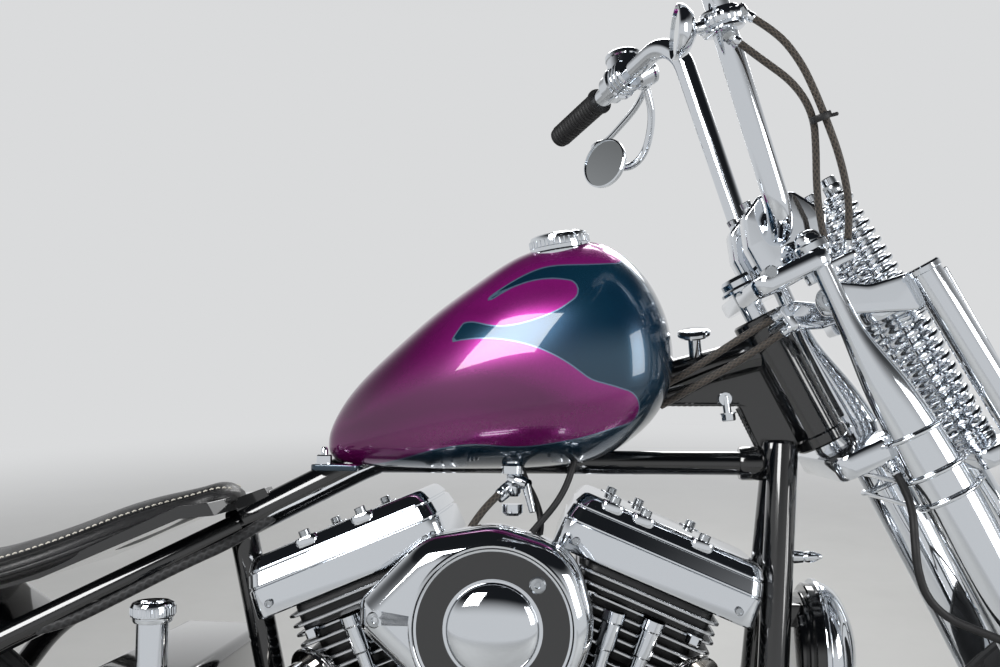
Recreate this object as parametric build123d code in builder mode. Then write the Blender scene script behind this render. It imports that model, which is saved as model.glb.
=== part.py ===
"""Chopper motorcycle with a springer fork and a finned V-twin, leaning on its side stand.

The machine is drawn upright in millimetres: +X forward, +Y to its left, +Z up, ground at z = 0
under the tyres and x = 0 near the crankshaft. Each finished piece is then leaned and shifted so
that the origin is the middle of the foot of its bounding box.
"""
from build123d import *
from math import atan2, cos, degrees, radians, sin, sqrt
import os

os.makedirs("parts", exist_ok=True)

# Stance
LEAN = 9.0                       # lean to the left on the side stand, degrees
GROUND_DROP = -0.8               # the leaned tyres reach this far below the upright ground
STAND_SHIFT = (35.0, -179.5)     # brings the bounding box centre to x = y = 0

# Engine
CRANK = (8.0, 310.0)             # crankshaft x, z
VEE = 22.5                       # each cylinder leans this far from the vertical
DECK = 165.0                     # crank to cylinder foot
HEAD_FOOT = 322.0                # crank to cylinder head
HEAD_TOP = 407.0                 # crank to rocker box foot
BOX_TOP = 463.0                  # crank to rocker box top
FIN_REACH = 82.0                 # cylinder axis to fin edge
FIN_PITCH = 11.0
FIN_THICK = 3.5

# Wheels
FRONT_AXLE = (744.0, 345.0)
FRONT_R = 345.0
FRONT_WIDTH = 86.0
FRONT_RIM_R = 272.0
REAR_AXLE = (-760.0, 325.0)
REAR_R = 325.0
REAR_WIDTH = 132.0
REAR_RIM_R = 208.0
AXLE_D = 20.0
BEARING_GAP = 0.05               # radial running clearance

# Springer fork, measured from its steering axis
RAKE = 27.0
STEER_N = 690.0                  # steering axis to crank plane origin, square to the axis
LEG_AHEAD = 47.0
LEG_Y = 107.0
SPRING_AHEAD = 122.0
SPRING_Y = 46.0
FRONT_LEG_AHEAD = 147.0
PERCH_H = 668.0
CLAMP_H = 742.0
NECK_LOW = 574.0
NECK_HIGH = 728.0
CROWN_H = 540.0
STEM_D = 26.0

# Frame
RAIL_D = 28.0
BACKBONE_D = 38.0

SL, CL = sin(radians(LEAN)), cos(radians(LEAN))
SR, CR = sin(radians(RAKE)), cos(radians(RAKE))

STANDING = Location((STAND_SHIFT[0], STAND_SHIFT[1], -GROUND_DROP)) * Location((0, 0, 0), (-LEAN, 0, 0))

# The fork's own plane: x ahead of the steering axis, y left, z up along it
FORK = Plane(origin=(CR * STEER_N, 0, SR * STEER_N), x_dir=(CR, 0, SR), z_dir=(-SR, 0, CR))


def fork_point(ahead, y, up):
    """A point of the fork's plane in the frame of the upright machine."""
    return Vector(
        CR * (STEER_N + ahead) - SR * up, y, SR * (STEER_N + ahead) + CR * up)


def cylinder_plane(way):
    """Origin at the crank, z along the cylinder, x towards the front of the machine."""
    a = radians(VEE) * way
    return Plane(origin=(CRANK[0], 0, CRANK[1]), x_dir=(cos(a), 0, -sin(a)), z_dir=(sin(a), 0, cos(a)))


def side_plane(y):
    """Sketch plane seen from the left, x forward and y up, looking along +Y."""
    return Plane(origin=(0, y, 0), x_dir=(1, 0, 0), z_dir=(0, -1, 0))


def tube(points, diameter, bends=None):
    """A round tube along straight runs joined by tangent arcs."""
    with BuildPart() as run:
        with BuildLine() as path:
            if len(points) == 2:
                Line(*points)
            else:
                FilletPolyline(*points, radius=bends)
        with BuildSketch(Plane(origin=path.line @ 0, z_dir=path.line % 0)):
            Circle(diameter / 2)
        sweep()
    return run.part


def rod(start, end, radius, end_radius=None):
    """A straight round bar, or a taper where end_radius is given."""
    start, end = Vector(*start), Vector(*end)
    length = (end - start).length
    with BuildPart() as bar:
        with Locations(Plane(origin=start, z_dir=end - start).location):
            if end_radius is None:
                Cylinder(radius, length, align=(Align.CENTER, Align.CENTER, Align.MIN))
            else:
                Cone(radius, end_radius, length, align=(Align.CENTER, Align.CENTER, Align.MIN))
    return bar.part


def biggest(piece):
    """The main solid of a piece whose trimming has left loose slivers."""
    with BuildPart() as main:
        add(piece.part.solids().sort_by(SortBy.VOLUME)[-1])
    return main


def keep(piece, node):
    """Leans, labels and writes one finished piece."""
    stood = piece.part.moved(STANDING)
    stood.label = node
    export_step(stood, f"parts/{node}.step")


def mirrored(point, side):
    return (point[0], point[1] * side, point[2])


# Frame: steering neck, bored for the stem
with BuildPart() as neck_bore:
    add(rod(fork_point(0, 0, NECK_LOW - 1), fork_point(0, 0, NECK_HIGH + 1), STEM_D / 2 + BEARING_GAP))

with BuildPart() as frame_neck:
    add(rod(fork_point(0, 0, NECK_LOW), fork_point(0, 0, NECK_HIGH), 27))
    with BuildSketch(side_plane(6)):
        Polygon((318, 905), (345, 850), (318, 800), (285, 812), (262, 866), (180, 866),
                (186, 890), (280, 925), align=None)
    extrude(amount=12)
    add(neck_bore.part, mode=Mode.SUBTRACT)

BACKBONE_RUN = [(288, 0, 922), (-130, 0, 812), (-300, 0, 727)]
with BuildPart() as frame_backbone:
    add(tube(BACKBONE_RUN, BACKBONE_D, 400))
    add(frame_neck.part, mode=Mode.SUBTRACT)
    add(neck_bore.part, mode=Mode.SUBTRACT)
frame_backbone = biggest(frame_backbone)

with BuildPart() as frame_top_tube:
    add(tube([(-152, 0, 802), (288, 0, 802)], 26))
    add(frame_backbone.part, mode=Mode.SUBTRACT)
    add(frame_neck.part, mode=Mode.SUBTRACT)

# Downtubes and bottom rails
DOWN_TOP = (306, 18, 812)
DOWN_FOOT = (250, 112, 176)
with BuildPart() as frame_downtubes:
    for side in (1, -1):
        add(tube([mirrored(DOWN_TOP, side), mirrored(DOWN_FOOT, side)], RAIL_D + 4))
    with Locations((302, 0, 812)):
        Box(34, 60, 30)
    for neighbour in (frame_neck, frame_top_tube):
        add(neighbour.part, mode=Mode.SUBTRACT)

RAIL_RUN = [(250, 112, 176), (236, 116, 150), (-330, 116, 150), (-735, 106, 300)]
rails = []
for side in (1, -1):
    with BuildPart() as rail:
        add(tube([mirrored(p, side) for p in RAIL_RUN], RAIL_D, [14, 120]))
        add(frame_downtubes.part, mode=Mode.SUBTRACT)
    rails.append(biggest(rail))
frame_rail_left, frame_rail_right = rails

with BuildPart() as frame_cross_members:
    for x in (190, -190):
        with Locations((x, 0, 150)):
            Box(26, 232, 14)
    for neighbour in (frame_rail_left, frame_rail_right):
        add(neighbour.part, mode=Mode.SUBTRACT)

# Both rails and their cross members, for trimming what seats on them
with BuildPart() as frame_bottom_rails:
    for neighbour in (frame_rail_left, frame_rail_right, frame_cross_members):
        add(neighbour.part)

with BuildPart() as frame_seat_post:
    add(tube([(-292, 0, 725), (-158, 0, 152)], 32))
    add(frame_backbone.part, mode=Mode.SUBTRACT)
    with Locations((-158, 0, 128)):
        Box(60, 60, 50, mode=Mode.SUBTRACT)
    add(frame_bottom_rails.part, mode=Mode.SUBTRACT)

with BuildPart() as frame_rear_rails:
    for side in (1, -1):
        add(tube([mirrored((-285, 12, 733), side), mirrored((-548, 92, 602), side),
                  mirrored((-742, 106, 352), side)], RAIL_D, 150))
    add(frame_backbone.part, mode=Mode.SUBTRACT)
    add(frame_seat_post.part, mode=Mode.SUBTRACT)

with BuildPart() as axle_plates:
    for side in (1, -1):
        with BuildSketch(Plane(origin=(0, side * 106 + 5, 0), x_dir=(1, 0, 0), z_dir=(0, -1, 0))):
            with Locations((REAR_AXLE[0], REAR_AXLE[1])):
                SlotOverall(110, 56, rotation=8)
            Polygon((-760, 350), (-735, 375), (-715, 330), (-712, 285), (-760, 300), align=None)
        extrude(amount=10)
    for neighbour in (frame_rear_rails, frame_bottom_rails):
        add(neighbour.part, mode=Mode.SUBTRACT)

REAR_AXLE_END, FRONT_AXLE_END = 142.0, 168.0
with BuildPart() as rear_axle:
    add(rod((REAR_AXLE[0], -REAR_AXLE_END, REAR_AXLE[1]), (REAR_AXLE[0], REAR_AXLE_END, REAR_AXLE[1]), AXLE_D / 2))
    for y in (-118, 118):
        add(rod((REAR_AXLE[0], y - 6, REAR_AXLE[1]), (REAR_AXLE[0], y + 6, REAR_AXLE[1]), 17))
    for side in (1, -1):
        add(rod((REAR_AXLE[0], side * 97, REAR_AXLE[1]), (REAR_AXLE[0], side * 102, REAR_AXLE[1]), 16))
    for neighbour in (axle_plates, frame_rear_rails, frame_bottom_rails):
        add(neighbour.part, mode=Mode.SUBTRACT)

# Fuel tank: upright sections, each x, top z, bottom z, half width
TANK_SECTIONS = [(-188, 843, 806, 20), (-113, 932, 797, 68), (-23, 1001, 794, 98),
                 (67, 1043, 796, 112), (140, 1024, 812, 104), (180, 970, 850, 70)]
with BuildPart() as fuel_tank:
    for x, top, bottom, half in TANK_SECTIONS:
        with BuildSketch(Plane(origin=(x, 0, (top + bottom) / 2), x_dir=(0, 1, 0), z_dir=(1, 0, 0))):
            Ellipse(half, (top - bottom) / 2)
    loft()
    add(tube([(300, 0, 925), (-130, 0, 812), (-300, 0, 727)], BACKBONE_D + 4, 400), mode=Mode.SUBTRACT)
    with Locations((0, 0, 800)):
        Box(420, 60, 40, mode=Mode.SUBTRACT)
    for x, z in ((120, 868), (-90, 815)):
        add(rod((x, -30, z), (x, -BACKBONE_D / 2 + 0, z), 6))

with BuildPart() as fuel_cap:
    add(rod((68, -20, 1030), (64, -22, 1056), 33))
    add(fuel_tank.part, mode=Mode.SUBTRACT)

with BuildPart() as petcock:
    add(rod((18, -50, 770), (18, -50, 815), 9))
    add(rod((18, -50, 772), (44, -58, 764), 8))
    add(fuel_tank.part, mode=Mode.SUBTRACT)

# Seat and its pan
with BuildPart() as seat_cushion:
    with BuildSketch(side_plane(105)):
        Polygon((-292, 764), (-330, 758), (-480, 690), (-600, 655), (-655, 668), (-650, 695),
                (-600, 690), (-480, 732), (-350, 776), align=None)
    extrude(amount=210)

with BuildPart() as seat_pan:
    with BuildSketch(side_plane(90)):
        Polygon((-300, 764 - 3), (-330, 758), (-480, 690), (-600, 655), (-600, 647), (-480, 680), (-330, 744), (-292, 748),
                align=None)
    extrude(amount=180)
    with BuildSketch(side_plane(14)):
        Polygon((-300, 758), (-262, 772), (-250, 752), (-286, 735), align=None)
    extrude(amount=28)
    for neighbour in (seat_cushion, frame_backbone, frame_rear_rails):
        add(neighbour.part, mode=Mode.SUBTRACT)

# Oil tank with its filler
with BuildPart() as oil_tank:
    with BuildSketch(side_plane(140)):
        Polygon((-292, 440), (-300, 596), (-400, 596), (-440, 560), (-425, 440), align=None)
    extrude(amount=280)
    add(rod((-341, -124, 590), (-341, -124, 655), 17))
    for neighbour in (frame_seat_post, frame_rear_rails):
        add(neighbour.part, mode=Mode.SUBTRACT)

# Engine: crankcase, cylinders and heads with fins
with BuildPart() as crankcase:
    with BuildSketch(side_plane(72)):
        with Locations(CRANK):
            Circle(132)
        for way in (1, -1):
            a = radians(VEE) * way
            with Locations((CRANK[0] + sin(a) * DECK / 2, CRANK[1] + cos(a) * DECK / 2)):
                Rectangle(140, DECK, rotation=-VEE * way)
        with Locations((CRANK[0], 200)):
            Rectangle(290, 44)
    extrude(amount=144)

HEAD_FINS = [(380, 92), (391, 92), (402, 92)]
cylinders = {}
for name, way in (("front", 1), ("rear", -1)):
    with BuildPart(cylinder_plane(way)) as cylinder:
        with Locations((0, 0, DECK)):
            Cylinder(58, HEAD_FOOT - DECK, align=(Align.CENTER, Align.CENTER, Align.MIN))
        fin = DECK + 14
        while fin < HEAD_FOOT - 4:
            with Locations((0, 0, fin)):
                Cylinder(FIN_REACH, FIN_THICK, align=(Align.CENTER, Align.CENTER, Align.MIN))
            fin += FIN_PITCH
        with Locations((0, 0, HEAD_FOOT)):
            Box(130, 130, HEAD_TOP - HEAD_FOOT, align=(Align.CENTER, Align.CENTER, Align.MIN))
        fin = HEAD_FOOT + 2
        while fin < HEAD_TOP:
            with Locations((0, 0, fin)):
                Box(2 * FIN_REACH, 150, FIN_THICK, align=(Align.CENTER, Align.CENTER, Align.MIN))
            fin += FIN_PITCH
        with Locations((0, 0, HEAD_TOP - 28)):
            Box(150, 184, 28, align=(Align.CENTER, Align.CENTER, Align.MIN))
    cylinders[name] = cylinder

with BuildPart() as cylinder_front:
    add(cylinders["front"].part)
    with Locations((CRANK[0] + 1 - 200, 0, 500)):
        Box(400, 300, 600, mode=Mode.SUBTRACT)
    with Locations((200, -72 - 50, 540)):
        Box(600, 100, 190, mode=Mode.SUBTRACT)
    add(crankcase.part, mode=Mode.SUBTRACT)

with BuildPart() as cylinder_rear:
    add(cylinders["rear"].part)
    with Locations((CRANK[0] - 1 + 200, 0, 500)):
        Box(400, 300, 600, mode=Mode.SUBTRACT)
    with Locations((-200, -72 - 50, 540)):
        Box(600, 100, 190, mode=Mode.SUBTRACT)
    add(crankcase.part, mode=Mode.SUBTRACT)

boxes = {}
for name, way in (("front", 1), ("rear", -1)):
    with BuildPart(cylinder_plane(way)) as box:
        with BuildSketch(cylinder_plane(way).offset(HEAD_TOP)):
            RectangleRounded(206, 180, 14)
        with BuildSketch(cylinder_plane(way).offset(BOX_TOP - 8)):
            RectangleRounded(200, 140, 12)
        loft()
        with BuildSketch(cylinder_plane(way).offset(BOX_TOP - 8)):
            RectangleRounded(196, 130, 12)
        extrude(amount=8)
    boxes[name] = box
rocker_box_front, rocker_box_rear = boxes["front"], boxes["rear"]

# Cam cover, lifter blocks and pushrod tubes on the right side
with BuildPart() as cam_cover:
    with BuildSketch(side_plane(-72)):
        with Locations((CRANK[0], CRANK[1])):
            Circle(95)
        with Locations((CRANK[0], CRANK[1] + 85)):
            Rectangle(150, 90)
    extrude(amount=38)

PUSHROD_Y = -83.5
PUSHRODS = [((58, 440), (129, 669)), ((84, 436), (168, 658)),
            ((-42, 440), (-113, 669)), ((-68, 436), (-152, 658))]
with BuildPart() as pushrod_tubes:
    for low, high in PUSHRODS:
        add(rod((low[0], PUSHROD_Y, low[1]), (high[0], PUSHROD_Y, high[1]), 8))
    for neighbour in (cylinder_front, cylinder_rear, cam_cover, crankcase):
        add(neighbour.part, mode=Mode.SUBTRACT)

# Carburettor and air cleaner
AIR = (8.0, 654.0)
with BuildPart() as carburettor:
    add(rod((AIR[0], -118, AIR[1] - 6), (AIR[0], -70, AIR[1] - 6), 34))
    with Locations((AIR[0], -92, AIR[1] - 56)):
        Box(62, 46, 44)
    add(rod((AIR[0], -72, AIR[1] - 6), (AIR[0], -10, AIR[1] - 6), 24))
    add(rod((AIR[0] - 70, -12, AIR[1] - 6), (AIR[0] + 70, -12, AIR[1] - 6), 22))
    for neighbour in (cylinder_front, cylinder_rear, rocker_box_front, rocker_box_rear):
        add(neighbour.part, mode=Mode.SUBTRACT)

with BuildPart() as air_cleaner:
    with BuildSketch(side_plane(-118)):
        with BuildLine():
            CenterArc(AIR, 92, -105, 220)
            Line((AIR[0] + 92 * cos(radians(115)), AIR[1] + 92 * sin(radians(115))), (-122, 676))
            Line((-122, 676), (-122, 650))
            Line((-122, 650), (AIR[0] + 92 * cos(radians(-105)), AIR[1] + 92 * sin(radians(-105))))
        make_face()
    extrude(amount=62)
    add(rod((AIR[0], -150, AIR[1]), (AIR[0], -198, AIR[1]), 44, 20))

# Exhaust pipes on the right side, open at their rear ends for a baffle
PIPE_BORE_R = 20.0
with BuildPart() as exhaust_front:
    add(tube([(196, -60, 588), (236, -118, 560), (236, -146, 330), (40, -150, 222), (-620, -150, 222)],
             44, [26, 110, 110]))
    for neighbour in (cylinder_front, frame_downtubes):
        add(neighbour.part, mode=Mode.SUBTRACT)
    add(rod((-621, -150, 222), (-520, -150, 222), PIPE_BORE_R), mode=Mode.SUBTRACT)
exhaust_front = biggest(exhaust_front)

with BuildPart() as exhaust_rear:
    add(tube([(-180, -60, 588), (-224, -118, 560), (-262, -150, 330), (-420, -150, 290), (-680, -150, 290)],
             44, [26, 80, 110]))
    for neighbour in (cylinder_rear, oil_tank):
        add(neighbour.part, mode=Mode.SUBTRACT)
    add(rod((-681, -150, 290), (-580, -150, 290), PIPE_BORE_R), mode=Mode.SUBTRACT)
exhaust_rear = biggest(exhaust_rear)

# Primary cover on the left, transmission and drive chain
CLUTCH = (-292.0, 328.0)
GEARBOX_SPROCKET_R = 46.0
WHEEL_SPROCKET_R = 112.0
CHAIN_Y = 80.0
with BuildPart() as primary_cover:
    with BuildSketch(side_plane(150)):
        with BuildLine():
            CenterArc((CRANK[0], CRANK[1]), 92, -90, 180)
            Line((CRANK[0], CRANK[1] + 92), (CLUTCH[0], CLUTCH[1] + 112))
            CenterArc(CLUTCH, 112, 90, 180)
            Line((CLUTCH[0], CLUTCH[1] - 112), (CRANK[0], CRANK[1] - 92))
        make_face()
    extrude(amount=60)
    with BuildSketch(side_plane(90)):
        with Locations(CRANK):
            Circle(80)
    extrude(amount=18)
    add(frame_bottom_rails.part, mode=Mode.SUBTRACT)

with BuildPart() as transmission:
    with BuildSketch(side_plane(62)):
        Polygon((-222, 200), (-222, 400), (-252, 425), (-392, 425), (-400, 380), (-390, 200), align=None)
    extrude(amount=124)
    add(rod((CLUTCH[0], 62, CLUTCH[1]), (CLUTCH[0], 90, CLUTCH[1]), 22))
    with Locations((-300, 0, 178)):
        Box(150, 232, 44)
    for neighbour in (frame_seat_post, frame_bottom_rails, primary_cover):
        add(neighbour.part, mode=Mode.SUBTRACT)

with BuildPart() as drive_chain:
    with BuildSketch(side_plane(CHAIN_Y + 4)):
        with BuildLine() as loop:
            a = CLUTCH
            b = REAR_AXLE
            gap = 3.0
            ra, rb = GEARBOX_SPROCKET_R + gap, WHEEL_SPROCKET_R + gap
            reach = sqrt((a[0] - b[0]) ** 2 + (a[1] - b[1]) ** 2)
            tip = degrees(atan2(a[1] - b[1], a[0] - b[0]))
            wrap = degrees(atan2(rb - ra, reach))
            top = tip + 90 - wrap
            low = tip - 90 + wrap
            arc_a = CenterArc(a, ra, low, top - low)
            arc_b = CenterArc(b, rb, top, 360 - (top - low))
            Line(arc_a @ 1, arc_b @ 0)
            Line(arc_b @ 1, arc_a @ 0)
        make_face()
        offset(amount=12)
        with BuildLine():
            add(loop.line)
        make_face(mode=Mode.SUBTRACT)
    extrude(amount=9)
    add(frame_rear_rails.part, mode=Mode.SUBTRACT)

# Rear fender with its struts, tail lamp
FENDER_R = 372.0
with BuildPart() as rear_fender:
    with BuildSketch(Plane(origin=(REAR_AXLE[0], 0, REAR_AXLE[1]), x_dir=(0, 1, 0), z_dir=(1, 0, 0))) as ring:
        with Locations((0, FENDER_R)):
            Rectangle(160, 4)
        for side in (1, -1):
            with Locations((side * 78.5, FENDER_R - 16)):
                Rectangle(3, 34)
    revolve(axis=Axis((REAR_AXLE[0], 0, REAR_AXLE[1]), (0, 1, 0)), revolution_arc=-125)
with BuildPart() as rear_fender_set:
    add(rear_fender.part.rotate(Axis((REAR_AXLE[0], 0, REAR_AXLE[1]), (0, 1, 0)), 38))
    for side in (1, -1):
        add(rod((-770, side * 99, 350), (-1075, side * 81, 480), 6))
        with Locations((-560, side * 84, 640)):
            Box(26, 12, 60)
    for neighbour in (axle_plates, frame_rear_rails, seat_pan, seat_cushion):
        add(neighbour.part, mode=Mode.SUBTRACT)

with BuildPart() as tail_lamp:
    add(rod((-1095, 0, 520), (-1150, 0, 535), 34))
    add(rear_fender_set.part, mode=Mode.SUBTRACT)

# Foot controls and horn
with BuildPart() as foot_controls_right:
    add(rod((60, -130, 150), (60, -250, 175), 12))
    add(rod((60, -134, 158), (190, -215, 185), 8))
    add(rod((190, -190, 185), (190, -250, 185), 8))
    for neighbour in (frame_bottom_rails, exhaust_front):
        add(neighbour.part, mode=Mode.SUBTRACT)

with BuildPart() as foot_controls_left:
    add(rod((100, 130, 150), (100, 250, 175), 12))
    add(rod((100, 134, 158), (215, 200, 195), 8))
    add(rod((215, 180, 195), (215, 250, 195), 8))
    add(frame_bottom_rails.part, mode=Mode.SUBTRACT)

with BuildPart() as horn:
    add(rod((318, 0, 646), (330, 0, 646), 46))
    add(rod((330, 0, 646), (372, 0, 646), 46, 22))
    with Locations((312, 0, 646)):
        Box(40, 60, 20)
    add(frame_downtubes.part, mode=Mode.SUBTRACT)

# Rear brake caliper on the right axle plate
REAR_DISC_R = 115.0
with BuildPart() as rear_caliper:
    with Locations((REAR_AXLE[0] + 62, -88, REAR_AXLE[1] + 82)):
        Box(84, 26, 56)
    with Locations((REAR_AXLE[0] + 40, -98, REAR_AXLE[1] + 50)):
        Box(56, 6, 60)
    add(rod((REAR_AXLE[0], -90, REAR_AXLE[1]), (REAR_AXLE[0], -78, REAR_AXLE[1]), REAR_DISC_R + 5),
        mode=Mode.SUBTRACT)
    for neighbour in (axle_plates, frame_rear_rails):
        add(neighbour.part, mode=Mode.SUBTRACT)

# Fork: crown, top clamp, stem, perch arms and risers
with BuildPart() as fork_trees:
    add(rod(fork_point(0, 0, CROWN_H), fork_point(0, 0, CLAMP_H + 26), STEM_D / 2))
    with BuildSketch(FORK.offset(CROWN_H)):
        with Locations((24, 0)):
            RectangleRounded(90, 2 * LEG_Y + 44, 18)
    extrude(amount=26)
    with BuildSketch(FORK.offset(CLAMP_H)):
        with Locations((22, 0)):
            RectangleRounded(92, 2 * LEG_Y + 40, 18)
    extrude(amount=20)
    for side in (1, -1):
        add(rod(fork_point(LEG_AHEAD, side * LEG_Y, CLAMP_H + 20), fork_point(LEG_AHEAD, side * LEG_Y, CLAMP_H + 30), 17))
        with Locations((295, side * 50, 1028)):
            Box(44, 30, 62)
    with BuildSketch(FORK.offset(PERCH_H)):
        with Locations((SPRING_AHEAD - 20, 0)):
            RectangleRounded(90, 2 * LEG_Y + 20, 14)
    extrude(amount=20)

BAR_RUN = [(298, 0, 1046), (298, 108, 1040), (190, 132, 1335), (62, 372, 1268)]
BAR_D = 25.4
with BuildPart() as handlebar:
    for side in (1, -1):
        add(tube([mirrored(p, side) for p in BAR_RUN], BAR_D, [40, 50]))

with BuildPart() as bars_cut:
    add(fork_trees.part)
    add(handlebar.part, mode=Mode.SUBTRACT)
fork_trees = bars_cut

# Rigid legs: slim rods above the perch, then oval blades; each height, depth, width
LEG_SECTIONS = [(CLAMP_H, 22, 22), (PERCH_H, 24, 24), (590, 54, 34), (300, 50, 34), (20, 38, 28), (-12, 36, 16)]
with BuildPart() as rigid_legs:
    for side in (1, -1):
        for i in range(len(LEG_SECTIONS) - 1):
            with BuildPart(mode=Mode.PRIVATE) as blade:
                for up, depth, width in LEG_SECTIONS[i:i + 2]:
                    with BuildSketch(Plane(origin=fork_point(LEG_AHEAD, side * LEG_Y, up), x_dir=(CR, 0, SR),
                                           z_dir=(-SR, 0, CR))):
                        Ellipse(depth / 2, width / 2)
                loft()
            add(blade.part)
    add(fork_trees.part, mode=Mode.SUBTRACT)

with BuildPart() as spring_legs:
    for side in (1, -1):
        add(rod(fork_point(FRONT_LEG_AHEAD, side * LEG_Y, 705), fork_point(176, side * LEG_Y, -6), 17, 13))
    with BuildSketch(FORK.offset(492)):
        with Locations((SPRING_AHEAD + 10, 0)):
            RectangleRounded(56, 2 * LEG_Y, 12)
    extrude(amount=22)
    for side in (1, -1):
        add(rod(fork_point(SPRING_AHEAD, side * SPRING_Y, 514), fork_point(SPRING_AHEAD, side * SPRING_Y, 824), 8))
    add(fork_trees.part, mode=Mode.SUBTRACT)

with BuildPart() as fork_springs:
    for side in (1, -1):
        add(rod(fork_point(SPRING_AHEAD, side * SPRING_Y, 514), fork_point(SPRING_AHEAD, side * SPRING_Y, PERCH_H), 25))
        add(rod(fork_point(SPRING_AHEAD, side * SPRING_Y, PERCH_H + 20), fork_point(SPRING_AHEAD, side * SPRING_Y, 806), 22, 14))
    add(spring_legs.part, mode=Mode.SUBTRACT)
    add(rigid_legs.part, mode=Mode.SUBTRACT)
    add(fork_trees.part, mode=Mode.SUBTRACT)

AXLE_AHEAD = CR * FRONT_AXLE[0] + SR * FRONT_AXLE[1] - STEER_N
AXLE_UP = -SR * FRONT_AXLE[0] + CR * FRONT_AXLE[1]
with BuildPart() as fork_rockers:
    for side in (1, -1):
        for ahead, up in ((LEG_AHEAD, 2), (176, 4), (AXLE_AHEAD, AXLE_UP)):
            a = fork_point(ahead, side * 126, up)
            b = fork_point(ahead, side * 138, up)
            add(rod(tuple(a), tuple(b), 20))
        corners = [fork_point(ahead, side * 138, up) for ahead, up in
                   ((LEG_AHEAD - 4, 20), (180, 22), (188, -10), (AXLE_AHEAD, AXLE_UP - 18), (LEG_AHEAD, -16))]
        with BuildSketch(Plane(origin=(0, side * 132 + 6, 0), x_dir=(1, 0, 0), z_dir=(0, -1, 0))):
            Polygon(*[(c.X, c.Z) for c in corners], align=None)
        extrude(amount=12)
        for ahead, up in ((LEG_AHEAD, 2), (176, 4)):
            add(rod(tuple(fork_point(ahead, side * 98, up)), tuple(fork_point(ahead, side * 126, up)), 7))
    for neighbour in (rigid_legs, spring_legs):
        add(neighbour.part, mode=Mode.SUBTRACT)

with BuildPart() as front_axle:
    add(rod((FRONT_AXLE[0], -FRONT_AXLE_END, FRONT_AXLE[1]), (FRONT_AXLE[0], FRONT_AXLE_END, FRONT_AXLE[1]),
            AXLE_D / 2))
    for side in (1, -1):
        add(rod((FRONT_AXLE[0], side * 138, FRONT_AXLE[1]), (FRONT_AXLE[0], side * 150, FRONT_AXLE[1]), 16))
        add(rod((FRONT_AXLE[0], side * 80, FRONT_AXLE[1]), (FRONT_AXLE[0], side * 126, FRONT_AXLE[1]), 15))
    for neighbour in (fork_rockers, spring_legs, rigid_legs):
        add(neighbour.part, mode=Mode.SUBTRACT)

# Grips, hand controls and mirrors, headlamp, front caliper
GRIP_END = (62, 372, 1268)
GRIP_INNER = (118, 267, 1297.3)
with BuildPart() as hand_grips:
    for side in (1, -1):
        add(rod(mirrored(GRIP_INNER, side), mirrored((58, 379.5, 1265.9), side), 17))
    add(handlebar.part, mode=Mode.SUBTRACT)

with BuildPart() as hand_controls:
    for side in (1, -1):
        add(rod(mirrored((146, 214.5, 1312), side), mirrored((120, 263, 1298.4), side), 22))
        add(rod(mirrored((150, 235, 1310), side), mirrored((190, 225, 1306), side), 16))
        add(rod(mirrored((188, 238, 1304), side), mirrored((108, 372, 1252), side), 6))
        add(rod(mirrored((170, 228, 1300), side), mirrored((160, 252, 1205), side), 6))
        add(rod(mirrored((160, 252, 1205), side), mirrored((128, 262, 1192), side), 6))
        add(rod(mirrored((126, 262, 1192), side), mirrored((116, 262, 1192), side), 36))
    for neighbour in (handlebar, hand_grips):
        add(neighbour.part, mode=Mode.SUBTRACT)

with BuildPart() as headlamp:
    add(rod((560, 0, 836), (640, 0, 836), 50, 66))
    add(rod((640, 0, 836), (664, 0, 836), 68))
    with Locations((545, 0, 836)):
        Box(60, 2 * LEG_Y - 20, 14)
    add(spring_legs.part, mode=Mode.SUBTRACT)
    add(fork_springs.part, mode=Mode.SUBTRACT)
headlamp = biggest(headlamp)

FRONT_DISC_R = 145.0
with BuildPart() as front_caliper:
    with Locations(Plane(origin=fork_point(LEG_AHEAD - 2, 71, 108), x_dir=(CR, 0, SR), z_dir=(-SR, 0, CR)).location):
        Box(56, 34, 74)
    add(rod((FRONT_AXLE[0], 55, FRONT_AXLE[1]), (FRONT_AXLE[0], 67, FRONT_AXLE[1]), FRONT_DISC_R + 5),
        mode=Mode.SUBTRACT)
    add(rigid_legs.part, mode=Mode.SUBTRACT)


# Wheels: tyre profiles and a wheel with rim, hub and spokes
def tyre(axle, outer, width, rim):
    x, z = axle
    half = width / 2
    with BuildPart() as ring:
        with BuildSketch(Plane(origin=(x, 0, z), x_dir=(0, 1, 0), z_dir=(1, 0, 0))):
            with BuildLine():
                crown = ThreePointArc((-half, outer - half), (0, outer), (half, outer - half))
                Line((half, outer - half), (half * 0.62, rim))
                Line((half * 0.62, rim), (-half * 0.62, rim))
                Line((-half * 0.62, rim), (-half, outer - half))
            make_face()
        revolve(axis=Axis((x, 0, z), (0, 1, 0)))
    return ring.part


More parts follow.
